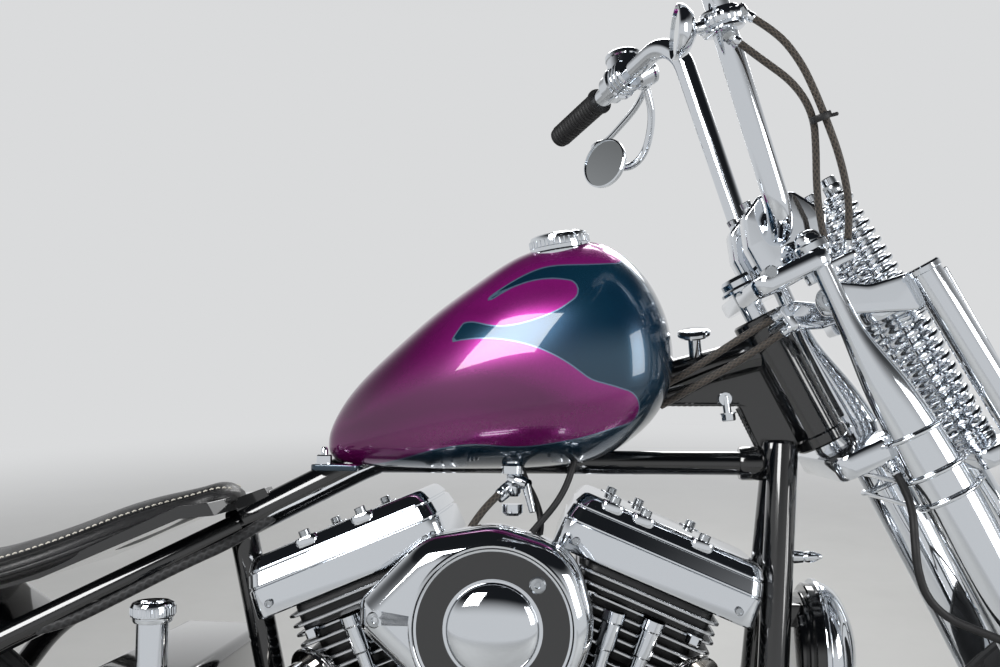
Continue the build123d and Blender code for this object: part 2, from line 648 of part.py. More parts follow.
def wheel(axle, rim, width, hub_half, hub_r, spokes):
    x, z = axle
    centre = Axis((x, 0, z), (0, 1, 0))
    with BuildPart() as whole:
        with BuildSketch(Plane(origin=(x, 0, z), x_dir=(0, 1, 0), z_dir=(1, 0, 0))):
            with Locations((0, rim - 10)):
                Rectangle(width * 0.62, 20)
            with Locations((0, 22)):
                Rectangle(2 * hub_half, 28)
            for side in (1, -1):
                with Locations((side * (hub_half - 8), hub_r / 2 + 10)):
                    Rectangle(6, hub_r - 20)
        revolve(axis=centre)
        for i in range(spokes):
            a = 360 / spokes * i
            side = 1 if i % 2 else -1
            low = (x + (hub_r - 5) * cos(radians(a)), side * (hub_half - 8), z + (hub_r - 5) * sin(radians(a)))
            high = (x + (rim - 12) * cos(radians(a + 9)), 0, z + (rim - 12) * sin(radians(a + 9)))
            span = Vector(*high) - Vector(*low)
            with BuildSketch(Plane(origin=low, z_dir=span)):
                Rectangle(5, 5)
            extrude(amount=span.length)
        add(rod((x, -hub_half - 20, z), (x, hub_half + 20, z), AXLE_D / 2 + BEARING_GAP), mode=Mode.SUBTRACT)
    return whole.part


with BuildPart() as front_tyre:
    add(tyre(FRONT_AXLE, FRONT_R, FRONT_WIDTH, FRONT_RIM_R))
with BuildPart() as rear_tyre:
    add(tyre(REAR_AXLE, REAR_R, REAR_WIDTH, REAR_RIM_R))
with BuildPart() as front_wheel:
    add(wheel(FRONT_AXLE, FRONT_RIM_R, FRONT_WIDTH, 58, 46, 20))
with BuildPart() as rear_wheel:
    add(wheel(REAR_AXLE, REAR_RIM_R, REAR_WIDTH, 68, 56, 20))


def disc(axle, y, outer, inner, thick):
    with BuildPart() as plate:
        with BuildSketch(side_plane(y + thick / 2)):
            with Locations(axle):
                Circle(outer)
                Circle(inner, mode=Mode.SUBTRACT)
        extrude(amount=thick)
    return plate.part


with BuildPart() as front_disc:
    add(disc(FRONT_AXLE, 61, FRONT_DISC_R, 20, 6))
with BuildPart() as rear_disc:
    add(disc(REAR_AXLE, -84, REAR_DISC_R, 20, 6))
    add(disc(REAR_AXLE, -74.5, 40, 20, 13))
with BuildPart() as rear_sprocket:
    add(disc(REAR_AXLE, CHAIN_Y, WHEEL_SPROCKET_R, 20, 7))
    add(disc(REAR_AXLE, 72.25, 40, 20, 8.5))

# Side stand: leg, pivot eye and foot; folds back along the left bottom rail
STAND_PIVOT = (40.0, 148.0, 146.0)
STAND_FOOT = (128.0, 300.0)
foot_z = (STAND_FOOT[1] * SL + GROUND_DROP) / CL
ground_up = Vector(0, -SL, CL)
foot = Vector(STAND_FOOT[0], STAND_FOOT[1], foot_z)
with BuildPart() as side_stand:
    add(rod(STAND_PIVOT, tuple(foot + ground_up * 10), 9, 8))
    add(rod(tuple(foot), tuple(foot + ground_up * 8), 20))
leg_way = (foot + ground_up * 10 - Vector(*STAND_PIVOT)).normalized()
folded_way = Vector(-0.975, 0.2, 0.02).normalized()
stand_axis = leg_way.cross(folded_way).normalized()
with BuildPart() as stand_pivot:
    add(rod(tuple(Vector(*STAND_PIVOT) - stand_axis * 9), tuple(Vector(*STAND_PIVOT) + stand_axis * 9), 14))
    add(side_stand.part)
    add(rod(tuple(Vector(*STAND_PIVOT) - stand_axis * 20), tuple(Vector(*STAND_PIVOT) + stand_axis * 20), 6.05),
        mode=Mode.SUBTRACT)
side_stand = stand_pivot

with BuildPart() as stand_bracket:
    add(rod(tuple(Vector(*STAND_PIVOT) - stand_axis * 24), tuple(Vector(*STAND_PIVOT) + stand_axis * 13), 6))
    add(rod(tuple(Vector(*STAND_PIVOT) - stand_axis * 24), tuple(Vector(*STAND_PIVOT) - stand_axis * 10), 15))
    tab = Vector(*STAND_PIVOT) - stand_axis * 18
    add(rod(tuple(tab), (STAND_PIVOT[0], 118, 141), 6))
    add(frame_bottom_rails.part, mode=Mode.SUBTRACT)

NODES = {
    "frame_neck": frame_neck, "frame_backbone": frame_backbone, "frame_top_tube": frame_top_tube,
    "frame_downtubes": frame_downtubes, "frame_rail_left": frame_rail_left,
    "frame_rail_right": frame_rail_right, "frame_cross_members": frame_cross_members,
    "frame_seat_post": frame_seat_post, "frame_rear_rails": frame_rear_rails, "axle_plates": axle_plates,
    "rear_axle": rear_axle, "front_axle": front_axle,
    "fuel_tank": fuel_tank, "fuel_cap": fuel_cap, "petcock": petcock, "seat_cushion": seat_cushion,
    "seat_pan": seat_pan, "oil_tank": oil_tank, "crankcase": crankcase, "cylinder_front": cylinder_front,
    "cylinder_rear": cylinder_rear, "rocker_box_front": rocker_box_front, "rocker_box_rear": rocker_box_rear,
    "cam_cover": cam_cover, "pushrod_tubes": pushrod_tubes, "carburettor": carburettor,
    "air_cleaner": air_cleaner, "exhaust_front": exhaust_front, "exhaust_rear": exhaust_rear,
    "primary_cover": primary_cover, "transmission": transmission, "drive_chain": drive_chain,
    "rear_fender": rear_fender_set, "tail_lamp": tail_lamp, "foot_controls_right": foot_controls_right,
    "foot_controls_left": foot_controls_left, "horn": horn, "rear_caliper": rear_caliper,
    "stand_bracket": stand_bracket, "fork_trees": fork_trees, "handlebar": handlebar, "rigid_legs": rigid_legs,
    "spring_legs": spring_legs, "fork_springs": fork_springs, "fork_rockers": fork_rockers,
    "hand_grips": hand_grips, "hand_controls": hand_controls, "headlamp": headlamp,
    "front_caliper": front_caliper, "front_tyre": front_tyre, "front_wheel": front_wheel,
    "front_disc": front_disc, "rear_tyre": rear_tyre, "rear_wheel": rear_wheel, "rear_disc": rear_disc,
    "rear_sprocket": rear_sprocket, "side_stand": side_stand,
}
for node, piece in NODES.items():
    keep(piece, node)


def stood_point(point):
    """A point of the upright machine where it stands, in metres."""
    x, y, z = tuple(point)
    return [round(v / 1000, 6) for v in (x + STAND_SHIFT[0], y * CL + z * SL + STAND_SHIFT[1],
                                         -y * SL + z * CL - GROUND_DROP)]


def stood_way(way):
    x, y, z = tuple(way)
    return [round(v, 6) for v in (x, y * CL + z * SL, -y * SL + z * CL)]


print("front axle", stood_point((FRONT_AXLE[0], 0, FRONT_AXLE[1])), "rear axle",
      stood_point((REAR_AXLE[0], 0, REAR_AXLE[1])), "wheel axis", stood_way((0, 1, 0)))
print("steering", stood_point(fork_point(0, 0, 650)), stood_way((-SR, 0, CR)))
print("stand", stood_point(STAND_PIVOT), stood_way(stand_axis))
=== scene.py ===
import math

import bmesh
import bpy
import numpy as np
from mathutils import Matrix


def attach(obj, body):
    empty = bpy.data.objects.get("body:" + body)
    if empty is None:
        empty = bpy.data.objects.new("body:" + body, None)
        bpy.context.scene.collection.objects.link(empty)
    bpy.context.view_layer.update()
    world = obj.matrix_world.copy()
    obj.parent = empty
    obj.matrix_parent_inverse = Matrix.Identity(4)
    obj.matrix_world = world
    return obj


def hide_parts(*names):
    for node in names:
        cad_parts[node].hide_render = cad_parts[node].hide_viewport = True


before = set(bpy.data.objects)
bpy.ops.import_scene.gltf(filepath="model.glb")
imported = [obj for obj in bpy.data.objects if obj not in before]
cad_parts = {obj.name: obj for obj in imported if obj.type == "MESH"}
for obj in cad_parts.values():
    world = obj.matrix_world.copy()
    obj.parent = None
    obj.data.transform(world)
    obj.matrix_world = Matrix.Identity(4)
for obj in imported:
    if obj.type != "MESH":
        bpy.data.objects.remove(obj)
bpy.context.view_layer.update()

# The machine is drawn upright in millimetres, as its construction is: +X forward, +Y to its left,
# +Z up, the crankshaft near x = 0. stood() leans it onto its side stand and gives metres.
X, Y, Z = np.eye(3)
LEAN = math.radians(9.0)
STAND_SHIFT = (35.0, -179.5, 0.8)
# Engine: the crank's x and z, each cylinder's angle, heights up a cylinder, and its fins
CRANK = (8.0, 310.0)
VEE = math.radians(22.5)
DECK, HEAD_FOOT, HEAD_TOP = 165.0, 322.0, 401.0
FIN_REACH, FIN_PITCH, FIN_THICK = 82.0, 11.0, 3.5
# Wheels: the axle's x and z, the tyre's radius and width, and the rim's radius
FRONT_AXLE, FRONT_R, FRONT_WIDTH, FRONT_RIM_R = (744.0, 345.0), 345.0, 86.0, 272.0
REAR_AXLE, REAR_R, REAR_WIDTH, REAR_RIM_R = (-760.0, 325.0), 325.0, 132.0, 208.0
# Fork: the rake, the steering axis from the origin, and places ahead of it, beside it and up it
RAKE = math.radians(27.0)
STEER_N = 690.0
LEG_AHEAD, LEG_Y = 58.0, 107.0
SPRING_AHEAD, SPRING_Y = 126.0, 46.0
FRONT_LEG_AHEAD = 147.0
CROWN_H, NECK_LOW, PERCH_H, CLAMP_H = 540.0, 574.0, 668.0, 742.0
FORK_OUT = np.array([math.cos(RAKE), 0, math.sin(RAKE)])
FORK_UP = np.array([-math.sin(RAKE), 0, math.cos(RAKE)])


def stood(points):
    """Upright millimetres to standing metres: turned about X by the lean, then shifted."""
    p = np.asarray(points, float)
    c, s = math.cos(LEAN), math.sin(LEAN)
    turned = np.stack([p[..., 0], p[..., 1] * c + p[..., 2] * s, -p[..., 1] * s + p[..., 2] * c], axis=-1)
    return (turned + STAND_SHIFT) / 1000


def fork(ahead, y, up):
    """Upright point of the fork: ahead of the steering axis, to its left, and up along it."""
    return FORK_OUT * (STEER_N + ahead) + Y * y + FORK_UP * up


def mirrored(point, side):
    """A point on the left for side 1, and its image on the right for side -1."""
    return np.array([point[0], point[1] * side, point[2]], float)


def unit(v):
    """v / |v|, along the last axis."""
    v = np.asarray(v, float)
    return v / np.linalg.norm(v, axis=-1, keepdims=True)


def distance_along(points):
    """How far along a path each of its points is: the sum of the steps before it."""
    return np.concatenate([[0], np.cumsum(np.linalg.norm(np.diff(points, axis=0), axis=1))])


def square_to(way):
    """Two unit vectors square to a direction and to each other."""
    way = unit(way)
    helper = np.eye(3)[np.argmin(np.abs(way))]
    side = unit(np.cross(way, helper))
    return side, np.cross(way, side)


# Placing planes: origin, two directions in the plane, and its outward direction
def cylinder_plane(way):
    """At the crank, z along the cylinder and x towards the front of the machine."""
    a = VEE * way
    lift = np.array([math.sin(a), 0, math.cos(a)])
    return np.array([CRANK[0], 0, CRANK[1]]), np.array([math.cos(a), 0, -math.sin(a)]), Y, lift


def fork_plane(ahead=0.0):
    """Square to the steering axis, at a distance ahead of it, z up along the fork."""
    return fork(ahead, 0, 0), FORK_OUT, Y, FORK_UP


def level_plane(x, y, z):
    """Level, at a point."""
    return np.array([x, y, z], float), X, Y, Z


def side_plane(y, facing=-1):
    """Upright plane at y, seen from the right for facing -1 and from the left for +1."""
    return np.array([0, y, 0.0]), X, Z, Y * facing


# Surfaces. Each gives (grid, rows_close, finish): rows x columns of points, columns always closing
def lathe(rows, base, way, segments=48, finish=0):
    """base + way * h + r * (cos a * side + sin a * lift), for rows of radius r and height h."""
    side, lift = square_to(way)
    rows = np.asarray(rows, float)
    a = np.linspace(0, 2 * math.pi, segments, endpoint=False)
    ring = np.cos(a)[:, None] * side + np.sin(a)[:, None] * lift
    grid = np.asarray(base, float) + rows[:, 1, None, None] * unit(way) + rows[:, 0, None, None] * ring
    return grid, False, finish


def hoop(rows, base, way, segments, finish=0):
    """A turned ring: a lathe whose last row joins its first."""
    return lathe(rows, base, way, segments)[0], True, finish


def swept(path, radius, sides=20, finish=0, closed=False, flat=None):
    """path(s) + r(s) * (cos a * side + sin a * lift), the ends drawn to a point.

    The side is square to the path and to one fixed axis, the one it runs along least; flat gives
    the second radius, along the lift, where the section is an ellipse."""
    p = np.asarray(path, float)
    r = np.broadcast_to(np.asarray(radius, float), (len(p),)).copy()
    f = r.copy() if flat is None else np.broadcast_to(np.asarray(flat, float), (len(p),)).copy()
    way = unit(np.roll(p, -1, axis=0) - np.roll(p, 1, axis=0)) if closed else unit(np.gradient(p, axis=0))
    helper = np.eye(3)[np.argmin(np.abs(way).max(axis=0))]
    side = unit(np.cross(way, helper))
    lift = np.cross(way, side)
    if not closed:
        p, side, lift = (np.concatenate([q[:1], q, q[-1:]]) for q in (p, side, lift))
        r, f = np.pad(r, 1), np.pad(f, 1)
    a = np.linspace(0, 2 * math.pi, sides, endpoint=False)[None, :, None]
    across = r[:, None, None] * np.cos(a) * side[:, None]
    upward = f[:, None, None] * np.sin(a) * lift[:, None]
    return p[:, None] + across + upward, closed, finish


def rod(start, end, radius, end_radius=None, sides=24, finish=0, edge=1.0):
    """A straight bar or taper whose ends are broken by a small chamfer."""
    start, end = np.asarray(start, float), np.asarray(end, float)
    length = np.linalg.norm(end - start)
    last = radius if end_radius is None else end_radius
    edge = min(edge, radius / 2, last / 2, length / 3)
    rows = [(0, 0), (radius - edge, 0), (radius, edge), (last, length - edge), (last - edge, length),
            (0, length)]
    return lathe(rows, start, end - start, sides, finish)


def boxy(rows, plane, corner_points=6, finish=0):
    """Rounded rectangles stacked along a plane's outward way.

    Rows are height, half length, half width, corner radius and, if given, a shift along the length;
    a row of size 0 closes an end."""
    origin, ex, ey, ez = plane
    rows = np.array([tuple(row) + (0.0,) * (5 - len(row)) for row in rows], float)
    quarter = np.linspace(0, math.pi / 2, corner_points)
    a = np.concatenate([quarter + k * math.pi / 2 for k in range(4)])
    sx = np.repeat([1, -1, -1, 1], corner_points)
    sy = np.repeat([1, 1, -1, -1], corner_points)
    r = rows[:, 3, None]
    x = rows[:, 4, None] + sx * (rows[:, 1, None] - r) + r * np.cos(a)
    y = sy * (rows[:, 2, None] - r) + r * np.sin(a)
    grid = origin + x[..., None] * ex + y[..., None] * ey + rows[:, 0, None, None] * ez
    return grid, False, finish


def block(plane, low, high, length, width, corner=3.0, edge=1.5, finish=0):
    """One rounded rectangular block between two heights of a plane, its edges broken."""
    k = edge * 0.3
    rows = [(low, 0, 0, 0), (low, length / 2 - edge, width / 2 - edge, corner),
            (low + k, length / 2 - k, width / 2 - k, corner), (low + edge, length / 2, width / 2, corner),
            (high - edge, length / 2, width / 2, corner), (high - k, length / 2 - k, width / 2 - k, corner),
            (high, length / 2 - edge, width / 2 - edge, corner), (high, 0, 0, 0)]
    return boxy(rows, plane, finish=finish)


def tangent_arc(before, here, after, radius, steps):
    """The arc that rounds a corner: centre + (sin((1 - k) t) * s + sin(k t) * e) / sin t, for turn t."""
    u, v = unit(before - here), unit(after - here)
    half = math.acos(np.clip(u @ v, -1, 1)) / 2
    turn = math.pi - 2 * half
    centre = here + unit(u + v) * radius / math.sin(half)
    s, e = (here + way * radius / math.tan(half) - centre for way in (u, v))
    k = np.linspace(0, 1, steps)[:, None]
    return centre + (np.sin((1 - k) * turn) * s + np.sin(k * turn) * e) / math.sin(turn)


def rounded_outline(corners, steps=7):
    """Closed outline through corners of x, y and radius, each turned by a tangent arc."""
    c = np.asarray(corners, float)
    threes = zip(np.roll(c, 1, axis=0), c, np.roll(c, -1, axis=0))
    return np.concatenate([tangent_arc(p[:2], q[:2], r[:2], q[2], steps) for p, q, r in threes])


def plate(outline, low, high, plane, edge=1.5, back_edge=None, arc=4):
    """A flat outline given a thickness: rings inset along its own normals round both edges."""
    origin, ex, ey, ez = plane
    o = np.asarray(outline, float)
    along = unit(np.roll(o, -1, axis=0) - np.roll(o, 1, axis=0))
    inward = np.stack([-along[:, 1], along[:, 0]], axis=1)
    area = np.sum(o[:, 0] * np.roll(o[:, 1], -1) - np.roll(o[:, 0], -1) * o[:, 1])
    inward = inward if area > 0 else -inward
    back_edge = min(edge, 1.5) if back_edge is None else back_edge
    q = np.linspace(0, math.pi / 2, arc)
    insets = np.concatenate([back_edge * (1 - np.sin(q)), edge * (1 - np.cos(q))])
    heights = np.concatenate([low + back_edge * (1 - np.cos(q)), high - edge * (1 - np.sin(q))])
    flat = o + insets[:, None, None] * inward
    middle = np.repeat(o.mean(axis=0)[None, None], len(o), axis=1)
    inner = flat[-1:] * 0.5 + middle * 0.5
    flat = np.concatenate([middle, flat, inner, middle])
    heights = np.concatenate([[low], heights, [high, high]])
    grid = origin + flat[..., :1] * ex + flat[..., 1:] * ey + heights[:, None, None] * ez
    return grid, False, 0


def rounded_run(points, bends, steps=12):
    """Path of straight runs joined by tangent arcs of the given radii."""
    pts = [np.asarray(p, float) for p in points]
    arcs = [tangent_arc(*corner, r, steps) for *corner, r in zip(pts, pts[1:], pts[2:], bends)]
    return np.concatenate([pts[0][None], *arcs, pts[-1][None]])


def spline(rows, at):
    """Natural cubic curve through rows whose first column is its parameter."""
    rows = np.asarray(rows, float)
    t, y = rows[:, 0], rows[:, 1:]
    h = np.diff(t)
    n = len(t)
    system, slopes = np.eye(n), np.zeros((n, y.shape[1]))
    i = np.arange(1, n - 1)
    system[i, i - 1], system[i, i], system[i, i + 1] = h[:-1], 2 * (h[:-1] + h[1:]), h[1:]
    step = np.diff(y, axis=0) / h[:, None]
    slopes[1:-1] = 6 * (step[1:] - step[:-1])
    m = np.linalg.solve(system, slopes)
    k = np.clip(np.searchsorted(t, at, side="right") - 1, 0, n - 2)
    b = ((at - t[k]) / h[k])[:, None]
    a = 1 - b
    return a * y[k] + b * y[k + 1] + ((a ** 3 - a) * m[k] + (b ** 3 - b) * m[k + 1]) * h[k, None] ** 2 / 6


def flowing(points, count):
    """Smooth path through points, by distance along them."""
    p = np.asarray(points, float)
    s = distance_along(p)
    return spline(np.column_stack([s, p]), np.linspace(0, s[-1], count))


def helix(base, way, low, high, radii, turns, per_turn=20):
    """Coil path: base + way * h + r(h) * (cos a, sin a), its end turns closed up flat."""
    side, lift = square_to(way)
    t = np.linspace(0, 1, int(turns * per_turn) + 1)
    rise = np.clip((t * turns - 0.8) / (turns - 1.6), 0, 1)
    a = 2 * math.pi * turns * t
    r = np.interp(rise, [0, 1], radii)
    h = low + (high - low) * rise
    ring = np.cos(a)[:, None] * side + np.sin(a)[:, None] * lift
    return base + h[:, None] * unit(way) + r[:, None] * ring


def both_ways(rows):
    """A profile up to its middle, followed by its image beyond it."""
    return rows + [(r, -h) for r, h in rows[-2::-1]]


def capped(grid):
    """A grid closed at each end by a row at the middle of that end's section."""
    ends = [np.broadcast_to(row.mean(axis=1, keepdims=True), row.shape) for row in (grid[:1], grid[-1:])]
    return np.concatenate([ends[0], grid, ends[1]])


def hex_bolt(place, way, across, height, finish=0):
    """A hexagon head with a chamfered top and a round washer under it."""
    r = across / math.sqrt(3)
    head = [(0, 0), (r, 0), (r, height * 0.85), (r * 0.86, height), (0, height)]
    washer = [(0, -1.2), (r * 1.2, -1.2), (r * 1.2, 0.3), (0, 0.3)]
    return [lathe(head, place, way, 6, finish), lathe(washer, place, way, 20, finish)]


def cap_screw(place, way, radius, height, finish=0):
    """A round socket head: a drum with a round, tapering well."""
    rows = [(0, 0), (radius, 0), (radius, height - 0.6), (radius - 0.6, height), (radius * 0.55, height),
            (radius * 0.5, height * 0.45), (0, height * 0.45)]
    return lathe(rows, place, way, 24, finish)


def ball(place, radius, finish=0, way=(0, 0, 1), stretch=1.0):
    """A sphere, or an egg whose length along its way is stretched."""
    a = np.linspace(-math.pi / 2, math.pi / 2, 13)
    return lathe(np.column_stack([radius * np.cos(a), radius * stretch * np.sin(a)]), place, way, 24, finish)


def milled_edge(centre, side, lift, radius, count, low, high, thick):
    """Thin rods from low to high round a cap, at centre + radius * (cos a * side + sin a * lift)."""
    way = np.cross(side, lift)
    ribs = []
    for k in range(count):
        a = 2 * math.pi * k / count
        foot = centre + radius * (math.cos(a) * side + math.sin(a) * lift)
        ribs.append(rod(foot + way * low, foot + way * high, thick, sides=6, edge=0.3))
    return ribs


# Finishes
def linear(code):
    """sRGB hex as linear red, green, blue and a full alpha."""
    c = np.array([int(code[i:i + 2], 16) for i in (1, 3, 5)]) / 255
    c = np.where(c <= 0.04045, c / 12.92, ((c + 0.055) / 1.055) ** 2.4)
    return float(c[0]), float(c[1]), float(c[2]), 1.0


def add_node(tree, kind, inputs=None, **settings):
    """Adds a node; each input, by name or number, takes a value or another node's output."""
    node = tree.nodes.new(kind)
    for key, value in settings.items():
        setattr(node, key, value)
    for key, value in (inputs or {}).items():
        if isinstance(value, bpy.types.NodeSocket):
            tree.links.new(value, node.inputs[key])
        else:
            node.inputs[key].default_value = value
    return node


def finish_base(name, colour, metallic, roughness, **constants):
    """A Principled shader with its constants on its own sockets, and Object coordinates."""
    material = bpy.data.materials.new(name)
    material.use_nodes = True
    tree = material.node_tree
    shader = tree.nodes["Principled BSDF"]
    shader.inputs["Base Color"].default_value = linear(colour)
    shader.inputs["Metallic"].default_value = metallic
    shader.inputs["Roughness"].default_value = roughness
    for key, value in constants.items():
        socket = shader.inputs[key.replace("_", " ")]
        socket.default_value = linear(value) if isinstance(value, str) else value
    place = add_node(tree, "ShaderNodeTexCoord").outputs["Object"]
    return material, tree, shader, place


def noise(tree, place, size_mm, detail, roughness=0.5):
    """Cloudy noise whose broadest clouds are size_mm across."""
    node = add_node(tree, "ShaderNodeTexNoise", {"Vector": place, "Scale": 1000 / size_mm, "Detail": detail,
                                                 "Roughness": roughness})
    return node.outputs["Fac"]


def remap(tree, value, low, high, to_low=0.0, to_high=1.0, **settings):
    """to_low + (to_high - to_low) * (value - low) / (high - low), held at both ends."""
    limits = {"Value": value, "From Min": low, "From Max": high, "To Min": to_low, "To Max": to_high}
    return add_node(tree, "ShaderNodeMapRange", limits, **settings).outputs["Result"]


def mixed(tree, factor, first, second, blend_type="MIX"):
    """first * (1 - factor) + second * factor, or their product for MULTIPLY; a text is a colour."""
    first, second = (linear(c) if isinstance(c, str) else c for c in (first, second))
    return add_node(tree, "ShaderNodeMix", {"Factor": factor, 6: first, 7: second}, data_type="RGBA",
                    blend_type=blend_type).outputs[2]


def worked_out(tree, operation, *values):
    """One operation on one or two numbers."""
    return add_node(tree, "ShaderNodeMath", dict(enumerate(values)), operation=operation).outputs[0]


def bumped(tree, shader, height, lift_mm, strength=1.0):
    """Turns the shader's normal as if the surface rose by height * lift_mm."""
    bump = add_node(tree, "ShaderNodeBump", {"Strength": strength, "Distance": lift_mm / 1000,
                                             "Height": height})
    tree.links.new(bump.outputs["Normal"], shader.inputs["Normal"])


def grained(name, colour, metallic, roughness, spread, drift_mm, grain_mm=0.0, lift_mm=0.0, second=None,
            **constants):
    """A finish whose roughness drifts over drift_mm, whose surface lifts by lift_mm over grain_mm,
    and whose colour wanders to a second one with the drift."""
    material, tree, shader, place = finish_base(name, colour, metallic, roughness, **constants)
    drift = noise(tree, place, drift_mm, 4.0, 0.6)
    rough = remap(tree, drift, 0.3, 0.7, roughness - spread, roughness + spread)
    tree.links.new(rough, shader.inputs["Roughness"])
    if second:
        wander = remap(tree, drift, 0.35, 0.7)
        tree.links.new(mixed(tree, wander, colour, second), shader.inputs["Base Color"])
    if lift_mm:
        bumped(tree, shader, noise(tree, place, grain_mm, 3.0), lift_mm)
    return material


# Bright chromium plate on polished steel: mirror sharp, with faint hand smudges 60 mm across
CHROME = grained("chromium_plate", "#DDE1E6", 1.0, 0.055, 0.025, 60, 220, 0.03)
# Chrome that lives near the heat of the engine: the same plate, a little hazier
WARM_CHROME = grained("heat_hazed_chrome", "#D9D9DA", 1.0, 0.09, 0.03, 45, 120, 0.03, second="#C9C4BC")
# Aluminium polished by hand: softer reflection with fine cloudiness
POLISHED = grained("hand_polished_aluminium", "#C6C8CB", 1.0, 0.20, 0.06, 25, 1.5, 0.01)
# Sand-cast aluminium: pale grey, matt, grain 0.9 mm
CAST = grained("sand_cast_aluminium", "#8F9193", 1.0, 0.48, 0.08, 30, 0.9, 0.06, second="#77797C")
# Cylinders in black stove enamel between machined fin edges: satin, slightly dusty
BARREL_BLACK = grained("satin_black_cylinder_enamel", "#101113", 0.0, 0.42, 0.10, 35, 1.2, 0.04,
                       second="#1B1C1E")
# Frame in two-coat black gloss: deep wet black, orange peel about 4 mm across
GLOSS_BLACK = grained("black_gloss_frame_enamel", "#08090B", 0.0, 0.13, 0.03, 80, 4.0, 0.012,
                      Coat_Weight=1.0, Coat_Roughness=0.03)
# Black oxide and dark plated fasteners and brackets
DARK_STEEL = grained("black_oxide_steel", "#2A2C2F", 0.85, 0.38, 0.08, 12, 0.8, 0.02, second="#3B3D40")
# Zinc plated bolts, spokes and small hardware: bright but soft grey
ZINC = grained("bright_zinc_plate", "#B4B8BC", 1.0, 0.24, 0.07, 8)
# Ground steel of brake discs and sprocket
GROUND_STEEL = grained("ground_steel", "#A3A6A9", 1.0, 0.28, 0.06, 5, 0.5, 0.006)
# Chain side plates: oiled dark steel with brighter worn patches
CHAIN_STEEL = grained("oiled_chain_steel", "#4B4C4D", 1.0, 0.36, 0.10, 6, second="#77756F")
# Tyre compound: matt, near black, dusty in patches
TYRE_RUBBER = grained("tyre_compound", "#17181A", 0.0, 0.78, 0.08, 30, 1.0, 0.05, second="#232426")
# Moulded grip rubber and cable sheaths
RUBBER = grained("moulded_black_rubber", "#131315", 0.0, 0.56, 0.08, 12, 0.7, 0.03)
# Headlamp and mirror glass
MIRROR_GLASS = grained("silvered_mirror_glass", "#E4E8EA", 1.0, 0.02, 0.005, 60)
LENS = grained("fluted_clear_lens", "#EDF2F4", 0.0, 0.05, 0.01, 30, 6.0, 0.5, Transmission_Weight=0.92,
               IOR=1.5)
BULB = grained("frosted_bulb_glass", "#E9E6DC", 0.0, 0.35, 0.05, 12)
RED_LENS = grained("red_moulded_lens", "#B5121B", 0.0, 0.12, 0.03, 20, 3.0, 0.2, Coat_Weight=0.6)


def tank_paint():
    """Candy lacquer in two colours: magenta licks over blue, with a thin silver-blue line between.

    The lick attribute is the distance in millimetres inside (+) or outside (-) a lick's edge.
    Its colour is darkened towards the tank's belly: painted shade."""
    material, tree, shader, place = finish_base("candy_lacquer_with_licks_and_painted_shade", "#8E1C7C", 0.55, 0.26,
                                                Coat_Weight=1.0, Coat_Roughness=0.02)
    edge = add_node(tree, "ShaderNodeAttribute", attribute_name="lick").outputs["Fac"]
    flake = add_node(tree, "ShaderNodeTexVoronoi", {"Vector": place, "Scale": 1000 / 0.7})
    glint = remap(tree, flake.outputs["Color"], 0.0, 1.0, 0.86, 1.18)
    magenta = mixed(tree, remap(tree, edge, 0.0, 42.0), "#A01C88", "#6A0E5A")
    blue = mixed(tree, noise(tree, place, 90, 2.0), "#0B2C4C", "#12495F")
    licked = mixed(tree, remap(tree, edge, -0.5, 0.5), blue, magenta)
    line = remap(tree, worked_out(tree, "ABSOLUTE", edge), 0.4, 0.9, 1.0, 0.0)
    lined = mixed(tree, line, licked, "#6E8CA6")
    # Painted shade: below 0.97 m up the colour is darkened, down to 0.42 of itself at 0.81 m.
    level = add_node(tree, "ShaderNodeSeparateXYZ", {"Vector": place}).outputs["Z"]
    fade = remap(tree, level, 0.81, 0.97, 0.42, 1.0)
    bright = mixed(tree, 1.0, lined, worked_out(tree, "MULTIPLY", glint, fade), "MULTIPLY")
    tree.links.new(bright, shader.inputs["Base Color"])
    return material


def braided(name, dark, light, strands=16, pitch_mm=5.0):
    """Braided sheath on the UV map: two families of slanted strands crossing round the hose."""
    material, tree, shader, _ = finish_base(name, dark, 0.0, 0.55, Sheen_Weight=0.3)
    uv = add_node(tree, "ShaderNodeUVMap", uv_map="UVMap")
    parts = add_node(tree, "ShaderNodeSeparateXYZ", {"Vector": uv.outputs["UV"]})
    turn = worked_out(tree, "MULTIPLY", parts.outputs["X"], strands / 2)
    run = worked_out(tree, "MULTIPLY", parts.outputs["Y"], 1000 / pitch_mm)
    slants = [worked_out(tree, way, turn, run) for way in ("ADD", "SUBTRACT")]
    cross = worked_out(tree, "MAXIMUM", *(worked_out(tree, "PINGPONG", slant, 1.0) for slant in slants))
    tree.links.new(mixed(tree, remap(tree, cross, 0.35, 0.95), dark, light), shader.inputs["Base Color"])
    bumped(tree, shader, cross, 0.5, 0.8)
    return material


def leather(name, colour, second):
    """Smooth saddle leather: creased cells 2 mm across under a soft semi-gloss, scuffed in patches."""
    material, tree, shader, place = finish_base(name, colour, 0.0, 0.42, Coat_Weight=0.25, Coat_Roughness=0.3)
    cell = add_node(tree, "ShaderNodeTexVoronoi", {"Vector": place, "Scale": 1000 / 2.2},
                    feature="DISTANCE_TO_EDGE")
    crease = remap(tree, cell.outputs["Distance"], 0.0, 0.12)
    scuff = noise(tree, place, 45, 5.0)
    tone = mixed(tree, remap(tree, scuff, 0.4, 0.75), colour, second)
    tree.links.new(tone, shader.inputs["Base Color"])
    tree.links.new(remap(tree, scuff, 0.3, 0.7, 0.34, 0.55), shader.inputs["Roughness"])
    bumped(tree, shader, crease, 0.3, 0.7)
    return material


